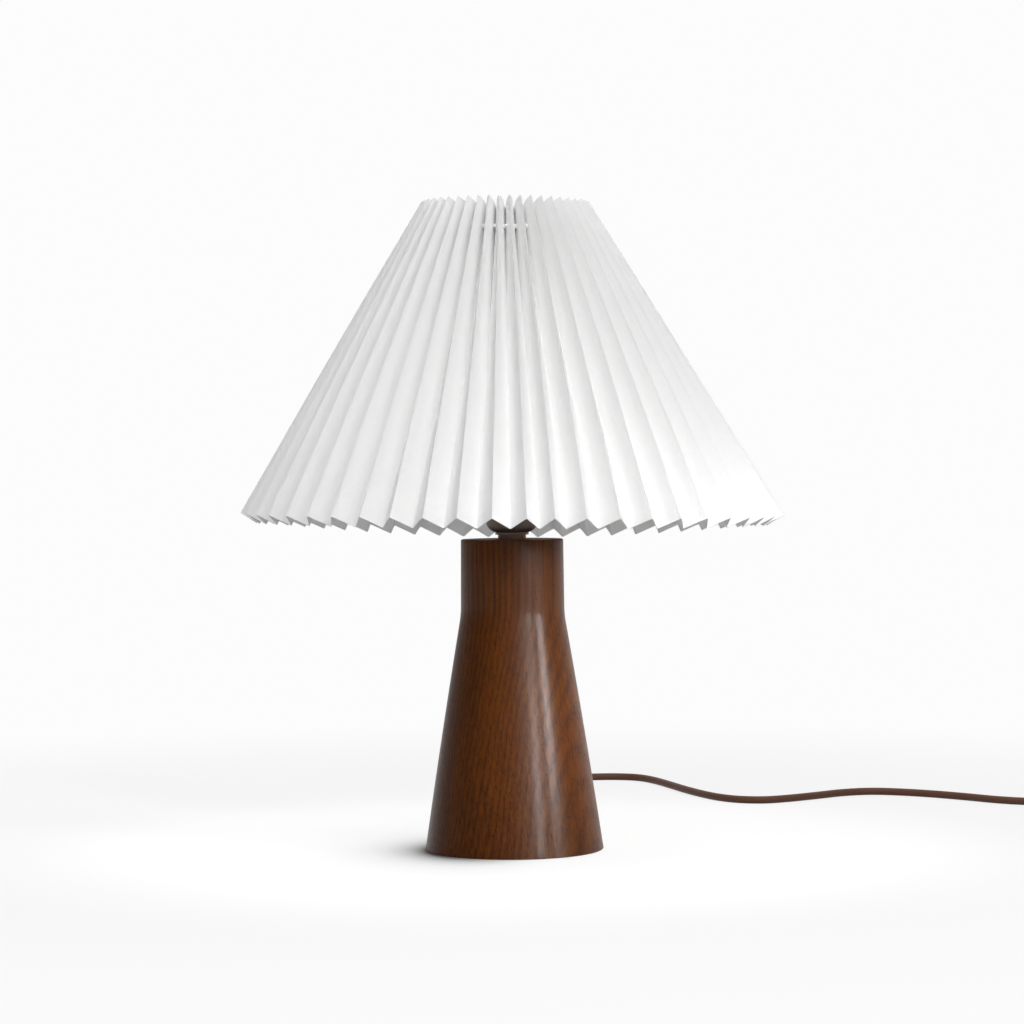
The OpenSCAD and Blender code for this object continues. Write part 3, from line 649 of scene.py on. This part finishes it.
def knurled_material(settings):
    material, tree, shader = new_material("knurled_bronze", {"Metallic": 0.2})
    mottle = mottled(tree, settings.knurled, darker(settings.knurled, 0.6), 0.7, 900.0, 0.48)
    knurl = place_effect(
        tree,
        knurl_effect(),
        {"Vector": object_place(tree), "Radius": 0.0217, "Pitch": settings.knurl_pitch},
    )
    # Painted shade: the knurl's grooves are darkened to 12 percent of the plating's colour
    colour = blend_colours(tree, knurl["Groove"], mottle["Colour"], rgba(darker(settings.knurled, 0.12)))
    tree.links.new(colour, shader.inputs["Base Color"])
    tree.links.new(mottle["Roughness"], shader.inputs["Roughness"])
    bump(tree, shader, knurl["Height"], settings.knurl_depth * 2)
    return material


def sheet_material(settings):
    material, tree, shader = new_material(
        "pleated_sheet",
        {
            "Roughness": 0.75,
            "Specular IOR Level": 0.2,
            "Subsurface Weight": 1.0,
            "Subsurface Radius": (1.0, 1.0, 1.0),
            "Subsurface Scale": settings.light_reach,
        },
    )
    place = tree.nodes.new("ShaderNodeUVMap").outputs[0]
    out = place_effect(
        tree,
        weave_effect(),
        {
            "Vector": place,
            "Colour": rgba(settings.sheet_white),
            "Second": rgba(darker(settings.sheet_white, 0.985)),
        },
    )
    paint(tree, shader, out, 0.00001, 0.3)
    return material


# The pieces

def catmull(p0, p1, p2, p3, t):
    """A point of a Catmull-Rom curve between p1 and p2."""
    return 0.5 * (
        2 * p1
        + (p2 - p0) * t
        + (2 * p0 - 5 * p1 + 4 * p2 - p3) * t * t
        + (3 * p1 - p0 - 3 * p2 + p3) * t ** 3
    )


def smooth_route(route, lowest, steps=8):
    """The route's points with more between them, never lower than the cord lies on the table."""
    points = []
    for i in range(len(route) - 1):
        for k in range(steps):
            t = k / steps
            if i == 0 or i == len(route) - 2:
                point = route[i].lerp(route[i + 1], t)
            else:
                point = catmull(route[i - 1], route[i], route[i + 1], route[i + 2], t)
            points.append(Vector((point.x, point.y, max(lowest, point.z))))
    return points + [route[-1]]


def cord_curve(name, points, radius):
    """A round cord along a line of points."""
    data = bpy.data.curves.new(name, "CURVE")
    data.dimensions = "3D"
    data.bevel_depth = radius
    data.bevel_resolution = 5
    data.use_fill_caps = True
    spline = data.splines.new("POLY")
    spline.points.add(len(points) - 1)
    for place, point in zip(spline.points, points):
        place.co = (*point, 1.0)
    cord = bpy.data.objects.new(name, data)
    bpy.context.scene.collection.objects.link(cord)
    return cord


def in_metres(points):
    return [Vector(point) * MM for point in points]


def lead_points():
    """The cord from the base to the switch, as it lies behind the lamp."""
    r = 3.5
    y = CORD_EXIT.y / MM
    return smooth_route(
        in_metres(
            [
                (0, y, 10), (0, y + 8, 10), (-3, 140, 5.5), (-9, 172, r), (-12, 205, r), (-9, 240, r),
                (-3, 268, 5), (0, 292, 8.5), (0, 300, 8.5),
            ]
        ),
        r * MM,
    )


def run_points(settings):
    """The cord from the switch along the table and into its coil."""
    r = settings.radius / MM
    coil_r = settings.coil_radius / MM
    turns = settings.coil_turns
    layer = 2 * r + 0.6
    side = 2 * r + 0.7
    centre = (540, 330)
    low = r + 1.4
    start_y = centre[1] - coil_r
    route = [
        (0, 364, 8.5), (0, 372, 8.5), (1, 400, 5), (3, 430, r), (7, 462, r), (15, 494, r), (31, 522, r),
        (56, 544, r), (84, 553, r), (108, 552, r), (127, 540, r), (141, 512, r), (154, 470, r),
        (167, 424, r), (180, 386, r), (194, 355, r), (212, 334, r), (235, 328, r), (258, 339, r),
        (285, 360, r), (315, 385, r), (343, 395, r), (371, 386, r), (400, 366, r), (427, 340, r),
        (452, 313, r), (476, 297, r), (505, start_y + 1, r + 0.6), (centre[0] - 2 * r - 8, start_y, low),
        (centre[0] - 2 * r, start_y, low),
    ]
    points = smooth_route(in_metres(route), r * MM)
    count = round(24 * turns)
    coil = []
    for i in range(count + 1):
        t = i / 24
        inward = min(t, turns - t)
        radius = coil_r - side * inward
        turn = math.radians(-90 + 360 * t)
        climb = min(1.0, max(0.0, 2 * (t - turns / 2) + 0.5))
        climb = climb * climb * (3 - 2 * climb)
        coil.append(
            (centre[0] + radius * math.cos(turn), centre[1] + radius * math.sin(turn), low + layer * climb)
        )
    top = low + layer
    plug_thickness = 13.7
    plug_x, plug_y, plug_z = centre[0] + coil_r, centre[1] + 48, plug_thickness / 2
    tail = []
    for t in (0.2, 0.4, 0.6, 0.8):
        down = t * t * (3 - 2 * t)
        tail.append((plug_x, centre[1] + t * (plug_y - centre[1] - 8), top + (plug_z - top) * down))
    tail += [(plug_x, plug_y - 2 * r, plug_z), (plug_x, plug_y, plug_z)]
    return points + in_metres(coil) + in_metres(tail)


class LAMP_OT_camera(bpy.types.Operator):
    """Adds the camera at the photograph's viewing angle"""

    bl_idname = "lamp.camera"
    bl_label = "Camera"

    def execute(self, context):
        settings = context.scene.lamp_stage
        data = bpy.data.cameras.new("camera")
        data.sensor_width = 36.0
        picture_width = 1024
        focal_length = 3040
        shift = -46
        data.lens = data.sensor_width * focal_length / picture_width
        data.shift_y = shift / picture_width
        camera = bpy.data.objects.new("camera", data)
        context.scene.collection.objects.link(camera)
        camera.matrix_world = (
            Matrix.Translation((0.0005, -settings.camera_distance, settings.camera_height))
            @ Matrix.Rotation(math.radians(90), 4, "X")
            @ Matrix.Rotation(settings.camera_roll, 4, "Z")
        )
        context.scene.camera = camera
        return {"FINISHED"}


class LAMP_OT_cords(bpy.types.Operator):
    """Lays the cord from the base through the switch to its coil and plug"""

    bl_idname = "lamp.cords"
    bl_label = "Cord"

    def execute(self, context):
        settings = context.scene.lamp_cord
        sheath = surface_material(
            "cord_sheath", settings.sheath, 0.55, 0.5, 700.0, 0.00003, Specular_IOR_Level=0.2
        )
        for name, points, replaced, far_end, pieces in (
            ("lead_to_switch", lead_points(), ["cord_lead"], "fitting",
             ["switch_base", "switch_cover", "switch_rocker", "switch_screws"]),
            ("cord_to_plug", run_points(settings), ["cord_run", "cord_coil"], "plug",
             ["plug_body", "plug_pins", "pin_sleeves", "coil_tie"]),
        ):
            cord = cord_curve(name, points, settings.radius)
            cord.data.materials.append(sheath)
            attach(cord, "lamp")
            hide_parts(*replaced)
        finish_node("inner_lead", sheath)
        return {"FINISHED"}


class LAMP_OT_base(bpy.types.Operator):
    """Turns the wooden base with its recess and the hole for the cord"""

    bl_idname = "lamp.base"
    bl_label = "Wooden base"

    def execute(self, context):
        settings = context.scene.lamp_base
        low, high = BASE_LOW.z, BASE_HIGH.z
        foot, neck, edge = settings.foot_radius, settings.neck_radius, settings.edge_radius
        top = neck - settings.neck_taper / 2
        bend_low = settings.bend_height - settings.bend_length / 2
        bend_high = settings.bend_height + settings.bend_length / 2

        def cone(z):
            t = (z - low) / (settings.bend_height - low)
            return foot + (neck - foot) * t + 4 * settings.cone_bow * t * (1 - t)

        bend_share = settings.bend_length / 2 / (high - settings.bend_height)
        start = Vector((cone(bend_low), bend_low))
        corner = Vector((neck, settings.bend_height))
        end = Vector((neck - settings.neck_taper / 2 * bend_share, bend_high))
        profile = [(settings.plate_radius, low)]
        profile += arc((foot - edge, low + edge), edge, -90, -20, 5)
        for i in range(1, 16):
            z = low + edge + (bend_low - low - edge) * i / 16
            profile.append((cone(z), z))
        for i in range(11):
            t = i / 10
            point = (1 - t) * (1 - t) * start + 2 * t * (1 - t) * corner + t * t * end
            profile.append((point.x, point.y))
        profile.append(((end.x + top) / 2, (bend_high + high) / 2))
        profile += arc((top - edge, high - edge), edge, 0, 90, 6)
        profile += [(0.0053, high), (0.0053, settings.recess_height)]
        profile += [(settings.recess_radius, settings.recess_height)]
        profile += [(settings.recess_radius, settings.plate_height)]
        profile += [(settings.plate_radius, settings.plate_height)]
        base = turned("turned_base", profile, 192, 30)
        for radius, start_y in ((0.0063, 0.050), (0.0093, CORD_EXIT.y - 0.029)):
            bpy.ops.object.select_all(action="DESELECT")
            bpy.ops.mesh.primitive_cylinder_add(
                vertices=64, radius=radius, depth=0.04, location=(0, start_y + 0.02, CORD_EXIT.z),
                rotation=(math.radians(90), 0, 0),
            )
            drill = bpy.context.object
            apply_modifier(base, "BOOLEAN", object=drill, operation="DIFFERENCE", solver="EXACT")
            bpy.data.objects.remove(drill)
        dress(base, wood_material(settings))
        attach(base, "lamp")
        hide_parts("wood_base")
        return {"FINISHED"}


class LAMP_OT_foot(bpy.types.Operator):
    """Finishes the felt, the plate, the weight and the fittings inside the base"""

    bl_idname = "lamp.foot"
    bl_label = "Foot"

    def execute(self, context):
        coat("felt_pad", "felt", (0.020, 0.014, 0.011), 0.95, 0.6, 900.0, 0.0002)
        coat("base_plate", "fibreboard", (0.19, 0.10, 0.05), 0.8, 0.7, 600.0, 0.0001)
        coat(
            "plate_screws tube_washer tube_nut cup_nut clamp_screws switch_screws",
            "zinc_steel", (0.45, 0.45, 0.44), 0.32, 0.4, 1200.0, 0.00001, Metallic=1.0,
        )
        coat("base_weight", "cast_iron", (0.05, 0.052, 0.056), 0.7, 0.6, 500.0, 0.0002)
        coat(
            "threaded_tube terminal_screws centre_contact socket_thread",
            "plain_brass", (0.55, 0.36, 0.12), 0.30, 0.4, 1200.0, 0.00001, Metallic=1.0,
        )
        coat("cord_clamp", "ivory_clamp", (0.68, 0.60, 0.44), 0.5)
        coat("lead_cores", "core_blue", (0.02, 0.05, 0.2), 0.45)
        coat("cord_bush", "bush_brown", (0.035, 0.016, 0.010), 0.55)
        return {"FINISHED"}


class LAMP_OT_holder(bpy.types.Operator):
    """Finishes the lampholder's knurled cup, the rings under it and its threaded shell"""

    bl_idname = "lamp.holder"
    bl_label = "Lampholder"

    def execute(self, context):
        settings = context.scene.lamp_holder
        coat(
            "neck_nut cup_washer holder_shell shade_ring",
            "dark_bronze", settings.bronze, 0.33, 0.5, 900.0, 0.00001, Metallic=0.85,
        )
        finish_node("holder_cup", knurled_material(settings))
        coat("holder_insert", "glazed_ceramic", (0.70, 0.66, 0.58), 0.2)
        return {"FINISHED"}


class LAMP_OT_bulb(bpy.types.Operator):
    """Finishes the opal bulb and its cap"""

    bl_idname = "lamp.bulb"
    bl_label = "Bulb"

    def execute(self, context):
        coat("bulb_globe", "opal_glass", (0.85, 0.85, 0.83), 0.25, 0.1, 300.0)
        coat(
            "bulb_cap bulb_contact plug_pins",
            "nickel", (0.56, 0.53, 0.48), 0.25, 0.4, 1200.0, 0.00001, Metallic=1.0,
        )
        coat("bulb_insulator", "black_glass", (0.01, 0.01, 0.012), 0.15)
        return {"FINISHED"}


class LAMP_OT_carrier(bpy.types.Operator):
    """Finishes the wire carrier that holds the shade"""

    bl_idname = "lamp.carrier"
    bl_label = "Carrier"

    def execute(self, context):
        coat(
            "carrier_fitter carrier_legs carrier_ring", "white_coat", (0.75, 0.75, 0.73), 0.45, 0.2, 1500.0
        )
        return {"FINISHED"}


class Pleats:
    """Where the points of the folded strip lie."""

    def __init__(self, settings):
        self.s = settings
        self.half_pitch = math.pi / settings.pleats
        self.body = settings.fold_length - settings.fold_head

    def slope(self, a):
        return self.s.slope - self.s.back_tuck * np.maximum(0.0, np.sin(a)) ** 1.5

    def depth(self, r, a):
        """How far the outer folds stand out from inner folds of radius r, for a flat panel."""
        bend = 1 - math.cos(self.half_pitch)
        rise = 1 + np.tan(self.slope(a)) ** 2
        inside = (r * bend) ** 2 + rise * (self.s.panel_width ** 2 - 2 * r * r * bend)
        return (-r * bend + np.sqrt(inside)) / rise

    def drift(self, a, along):
        """How the folds stray from even spacing: apart at the top's front, and pinched at the hem."""
        az = (a + math.pi * 1.5) % (2 * math.pi) - math.pi
        low = (along + self.s.fold_head) / self.s.fold_length
        apart = self.s.top_spread * np.sin(az) * np.abs(np.sin(az)) * np.where(az < 0, 1.12, 0.88)
        rising = np.clip(np.degrees(az) / 15, 0, 1)
        falling = np.clip((115 - np.degrees(az)) / 90, 0, 1)
        pinch = -self.s.hem_pinch * (rising * falling) ** 2 * (3 - 2 * rising * falling)
        return (1 - low) * apart + low * pinch

    def fold(self, a, along, outer, stray=0.0):
        """Points of the folds at the azimuths a, at the distances along the fold from the ring."""
        a = a[None, :]
        along = along[:, None]
        a = a + self.drift(a, along) + stray * (1 - (along + self.s.fold_head) / self.s.fold_length * 0.7)
        slope = self.slope(a)
        r = self.s.seat_radius + along * np.sin(slope)
        out = self.depth(r, a) if outer else np.zeros_like(r)
        x = (r + out) * np.cos(a) - self.s.seat_offset * (1 - along / self.body)
        y = (r + out) * np.sin(a)
        z = self.s.seat_height - along * np.cos(slope) + out * np.tan(slope) - x * math.tan(self.s.seat_tilt)
        return np.stack([x, y, z], axis=-1)


class LAMP_OT_shade(bpy.types.Operator):
    """Folds a straight strip of sheet into the pleated shade"""

    bl_idname = "lamp.shade"
    bl_label = "Pleated shade"

    def execute(self, context):
        settings = context.scene.lamp_shade
        shape = Pleats(settings)
        n = settings.pleats
        rows = 30
        steps_flat = [0.0, 0.05, 0.12, 0.22, 0.34, 0.48, 0.62, 0.74, 0.84]
        soft = 4
        columns = 2 * n * (len(steps_flat) + soft - 1)
        bpy.ops.object.select_all(action="DESELECT")
        bpy.ops.mesh.primitive_grid_add(x_subdivisions=columns, y_subdivisions=rows, size=1)
        shade = settle(bpy.context.object, "pleated_sheet")
        along = np.linspace(-settings.fold_head, shape.body, rows + 1)
        outer_a = settings.phase + 2 * shape.half_pitch * np.arange(n + 1)
        inner_a = outer_a + shape.half_pitch
        stray = np.random.default_rng(52).normal(0.0, settings.stray, (2, n))
        stray = np.concatenate([stray, stray[:, :1]], axis=1)
        outer = shape.fold(outer_a, along, True, stray[0])
        inner = shape.fold(inner_a, along, False, 0.6 * stray[1])
        near_top = np.exp(-(along + settings.fold_head) / 0.05)[:, None]
        width = 0.07 + 0.08 * near_top
        bow = 0.0002 + 0.0010 * near_top

        def panel(pleat, side, t):
            """Points of the panel on one side of a pleat's outer fold, from the fold (0) inwards (1)."""
            tip = outer[:, pleat]
            foot = inner[:, pleat if side > 0 else (pleat - 1) % n]
            a = outer_a[pleat]
            sideways = np.array([-math.sin(a), math.cos(a), 0.0]) * side
            return tip + (foot - tip) * t + sideways * bow * 6.75 * t * (1 - t) ** 2

        lines = []
        for pleat in range(n):
            for t in steps_flat:
                lines.append(panel(pleat, 1, (1 - width) * t / steps_flat[-1]))
            before = panel(pleat, 1, 1 - width)
            after = panel((pleat + 1) % n, -1, 1 - width)
            tip = inner[:, pleat]
            for k in range(1, 2 * soft):
                u = k / (2 * soft)
                lines.append((1 - u) ** 2 * before + 2 * u * (1 - u) * tip + u * u * after)
            for t in reversed(steps_flat[1:]):
                lines.append(panel((pleat + 1) % n, -1, (1 - width) * t / steps_flat[-1]))
        lines.append(lines[0])
        grid = np.stack(lines, axis=0)
        vertices = np.empty(len(shade.data.vertices) * 3)
        shade.data.vertices.foreach_get("co", vertices)
        place = vertices.reshape(-1, 3)
        column = np.rint((place[:, 0] + 0.5) * columns).astype(int)
        row = np.rint((0.5 - place[:, 1]) * rows).astype(int)
        shade.data.vertices.foreach_set("co", grid[column, row].reshape(-1))
        shade.data.update()
        with Editing(shade):
            bpy.ops.mesh.select_all(action="SELECT")
            bpy.ops.mesh.remove_doubles(threshold=1e-6)
            bpy.ops.mesh.normals_make_consistent(inside=False)
        apply_modifier(shade, "SOLIDIFY", thickness=settings.thickness, offset=0.0)
        soften(shade, 40)
        dress(shade, sheet_material(settings))
        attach(shade, "shade")
        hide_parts("pleated_shade")
        return {"FINISHED"}


class LAMP_OT_gathering_cord(bpy.types.Operator):
    """Lays the thick thread that gathers the pleats round the carrier's ring"""

    bl_idname = "lamp.gathering_cord"
    bl_label = "Gathering cord"

    def execute(self, context):
        settings = context.scene.lamp_shade
        material, tree, shader = new_material("white_thread", {"Specular IOR Level": 0.2, "Roughness": 0.8})
        out = place_effect(
            tree,
            twist_effect(),
            {"Vector": tree.nodes.new("ShaderNodeUVMap").outputs[0], "Colour": rgba(settings.thread_white)},
        )
        paint(tree, shader, out, 0.0002)
        bpy.ops.object.select_all(action="DESELECT")
        bpy.ops.mesh.primitive_torus_add(
            major_segments=192, minor_segments=20, major_radius=settings.seat_radius + settings.thread_stand,
            minor_radius=settings.thread_radius, generate_uvs=True,
            location=(-settings.seat_offset, 0, settings.seat_height), rotation=(0, settings.seat_tilt, 0),
        )
        thread = settle(bpy.context.object, "gathering_thread")
        soften(thread, 60)
        dress(thread, material)
        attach(thread, "shade")
        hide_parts("gathering_cord")
        return {"FINISHED"}


class LAMP_OT_switch(bpy.types.Operator):
    """Finishes the switch in the cord"""

    bl_idname = "lamp.switch"
    bl_label = "Switch"

    def execute(self, context):
        coat("switch_base switch_cover", "switch_brown", (0.035, 0.016, 0.010), 0.45)
        coat("switch_rocker", "rocker_brown", (0.022, 0.010, 0.007), 0.25)
        coat("coil_tie", "tie_grey", (0.03, 0.03, 0.03), 0.6)
        return {"FINISHED"}


class LAMP_OT_plug(bpy.types.Operator):
    """Finishes the plug"""

    bl_idname = "lamp.plug"
    bl_label = "Plug"

    def execute(self, context):
        coat("plug_body", "plug_brown", (0.035, 0.016, 0.010), 0.45)
        coat("pin_sleeves", "sleeve_black", (0.012, 0.012, 0.012), 0.5)
        return {"FINISHED"}


def aim(position, target):
    """A turn that points a lamp from its position at a target."""
    return (Vector(target) - Vector(position)).to_track_quat("-Z", "Y")


def soft_light(name, position, target, width, height, power, spread=math.pi):
    """A soft box, whose grid may narrow its beam."""
    data = bpy.data.lights.new(name, "AREA")
    data.spread = spread
    data.shape = "RECTANGLE"
    data.size = width
    data.size_y = height
    data.energy = power
    lamp = bpy.data.objects.new(name, data)
    lamp.location = position
    lamp.rotation_mode = "QUATERNION"
    lamp.rotation_quaternion = aim(position, target)
    bpy.context.scene.collection.objects.link(lamp)
    return lamp


def white_light(tree, strength, kind="ShaderNodeEmission"):
    """White light of a given strength."""
    return add_node(tree, kind, {"Color": (1, 1, 1, 1), "Strength": strength}).outputs[0]


def mix_shaders(tree, factor, a, b):
    """Two shaders mixed by a factor."""
    return add_node(tree, "ShaderNodeMixShader", {0: factor, 1: a, 2: b}).outputs[0]


def in_mirrors(tree, path):
    """1 for rays of mirrors and of glass."""
    return calc(tree, "MAXIMUM", path.outputs["Is Glossy Ray"], path.outputs["Is Transmission Ray"])


def light_world(scene, settings):
    """Lights the lamp from all round, while the camera sees a pale ground."""
    world = bpy.data.worlds.new("studio")
    scene.world = world
    tree = bare_tree(world)
    x, y, _ = xyz(tree, add_node(tree, "ShaderNodeTexCoord").outputs["Generated"])
    # Mirrors see a backdrop behind the lamp that is dimmer at the left
    backdrop = limits(tree, y, -0.1, 0.85, 0.15, settings.background)
    left = limits(tree, x, -0.75, 0.1, 0.35, 1.0)
    room = limits(tree, y, 0.1, 0.95, settings.room_light, settings.back_light)
    around = white_light(tree, room, "ShaderNodeBackground")
    mirrored = white_light(tree, calc(tree, "MULTIPLY", backdrop, left), "ShaderNodeBackground")
    behind = white_light(tree, settings.background, "ShaderNodeBackground")
    path = tree.nodes.new("ShaderNodeLightPath")
    soft = mix_shaders(tree, in_mirrors(tree, path), around, mirrored)
    mixed = mix_shaders(tree, path.outputs["Is Camera Ray"], soft, behind)
    add_node(tree, "ShaderNodeOutputWorld", {"Surface": mixed})


def lay_floor(settings, foot_radius):
    """Lays a floor that is as pale as the backdrop and keeps part of the lamps' shadows. A painted shadow
    darkens its own glow at the foot's left, and the glow is painted stronger near the lamp to fill the
    shade's shadow there.
    """
    pale = settings.background
    bpy.ops.object.select_all(action="DESELECT")
    bpy.ops.mesh.primitive_plane_add(size=12, location=(0, 0, 0))
    floor = settle(bpy.context.object, "floor")
    material = bpy.data.materials.new("pale_floor")
    tree = bare_tree(material)
    matt = add_node(tree, "ShaderNodeBsdfDiffuse", {"Color": (0.45, 0.45, 0.45, 1)})
    shaded = add_node(tree, "ShaderNodeBsdfDiffuse", {"Color": (0.24, 0.24, 0.24, 1)})
    place = object_place(tree)
    x = xyz(tree, place)[0]
    away = add_node(tree, "ShaderNodeVectorMath", {0: place}, operation="LENGTH").outputs[1]
    # Painted shadow: the floor's own light dims close to the foot at its left, whatever the lamps do
    past_foot = calc(tree, "SUBTRACT", foot_radius, away)
    fall = calc(tree, "DIVIDE", past_foot, settings.painted_shadow_reach)
    side = limits(tree, x, -0.07, 0.03, settings.painted_shadow_depth, 0.0)
    painted_shade = calc(tree, "MULTIPLY", calc(tree, "EXPONENT", calc(tree, "MINIMUM", fall, 0.0)), side)
    # Painted light: the floor's own glow is stronger close to the lamp, which fills the shade's shadow there
    painted_fill_light = limits(tree, away, 0.12, 0.5, pale - 0.12, pale - 0.265)
    own = white_light(tree, calc(tree, "MULTIPLY", painted_fill_light, calc(tree, "SUBTRACT", 1.0, painted_shade)))
    near = add_node(tree, "ShaderNodeAddShader", {0: shaded.outputs[0], 1: own}).outputs[0]
    seen = mix_shaders(tree, limits(tree, away, 0.45, 1.3), near, white_light(tree, pale))
    path = tree.nodes.new("ShaderNodeLightPath")
    directly = calc(tree, "MAXIMUM", path.outputs["Is Camera Ray"], in_mirrors(tree, path))
    mixed = mix_shaders(tree, directly, matt.outputs[0], seen)
    add_node(tree, "ShaderNodeOutputMaterial", {"Surface": mixed})
    dress(floor, material)


class LAMP_OT_stage(bpy.types.Operator):
    """Adds the floor, the backdrop and the studio lights"""

    bl_idname = "lamp.stage"
    bl_label = "Stage"

    def execute(self, context):
        settings = context.scene.lamp_stage
        light_world(context.scene, settings)
        lay_floor(settings, context.scene.lamp_base.foot_radius)
        soft_light("overhead", (0, -0.5, 2.4), (0, 0, 0.3), 1.6, 1.6, 33.5)
        soft_light("front", (0.9, -2.2, 1.0), (0, 0, 0.35), 1.2, 1.2, 15.0)
        soft_light("right", (2.1, -1.1, 0.9), (0, 0, 0.35), 1.8, 1.2, 0.3)
        soft_light("left", (-0.5, -2.4, 1.3), (0, 0, 0.35), 1.2, 1.2, 1.5)
        # Both low lamps have narrow beams that light the wood below the shade's hem
        soft_light("key", (1.40, -0.82, 0.45), (0, 0, 0.125), 0.36, 0.25, 0.185, math.radians(14))
        soft_light("low front", (1.22, -1.75, 0.45), (0, 0, 0.105), 0.60, 0.22, 0.15, math.radians(8))
        context.scene.view_settings.view_transform = "Standard"
        return {"FINISHED"}


OPERATORS = (
    LAMP_OT_camera,
    LAMP_OT_cords,
    LAMP_OT_base,
    LAMP_OT_foot,
    LAMP_OT_holder,
    LAMP_OT_bulb,
    LAMP_OT_carrier,
    LAMP_OT_shade,
    LAMP_OT_gathering_cord,
    LAMP_OT_switch,
    LAMP_OT_plug,
    LAMP_OT_stage,
)


class LAMP_PT_panel(bpy.types.Panel):
    """Lists the lamp's sizes and pieces"""

    bl_idname = "LAMP_PT_panel"
    bl_label = "Table lamp"
    bl_space_type = "VIEW_3D"
    bl_region_type = "UI"
    bl_category = "Table lamp"

    def draw(self, context):
        layout = self.layout
        for name in SETTINGS:
            box = layout.box()
            group = getattr(context.scene, name)
            for key in group.__annotations__:
                box.prop(group, key)
        for operator in OPERATORS:
            layout.operator(operator.bl_idname)


def register():
    for name, settings in SETTINGS.items():
        bpy.utils.register_class(settings)
        setattr(bpy.types.Scene, name, PointerProperty(type=settings))
    for operator in OPERATORS:
        bpy.utils.register_class(operator)
    bpy.utils.register_class(LAMP_PT_panel)


def unregister():
    bpy.utils.unregister_class(LAMP_PT_panel)
    for operator in reversed(OPERATORS):
        bpy.utils.unregister_class(operator)
    for name, settings in SETTINGS.items():
        delattr(bpy.types.Scene, name)
        bpy.utils.unregister_class(settings)


def main():
    register()
    for operator in OPERATORS:
        group, name = operator.bl_idname.split(".")
        getattr(getattr(bpy.ops, group), name)()


if __name__ == "__main__":
    main()
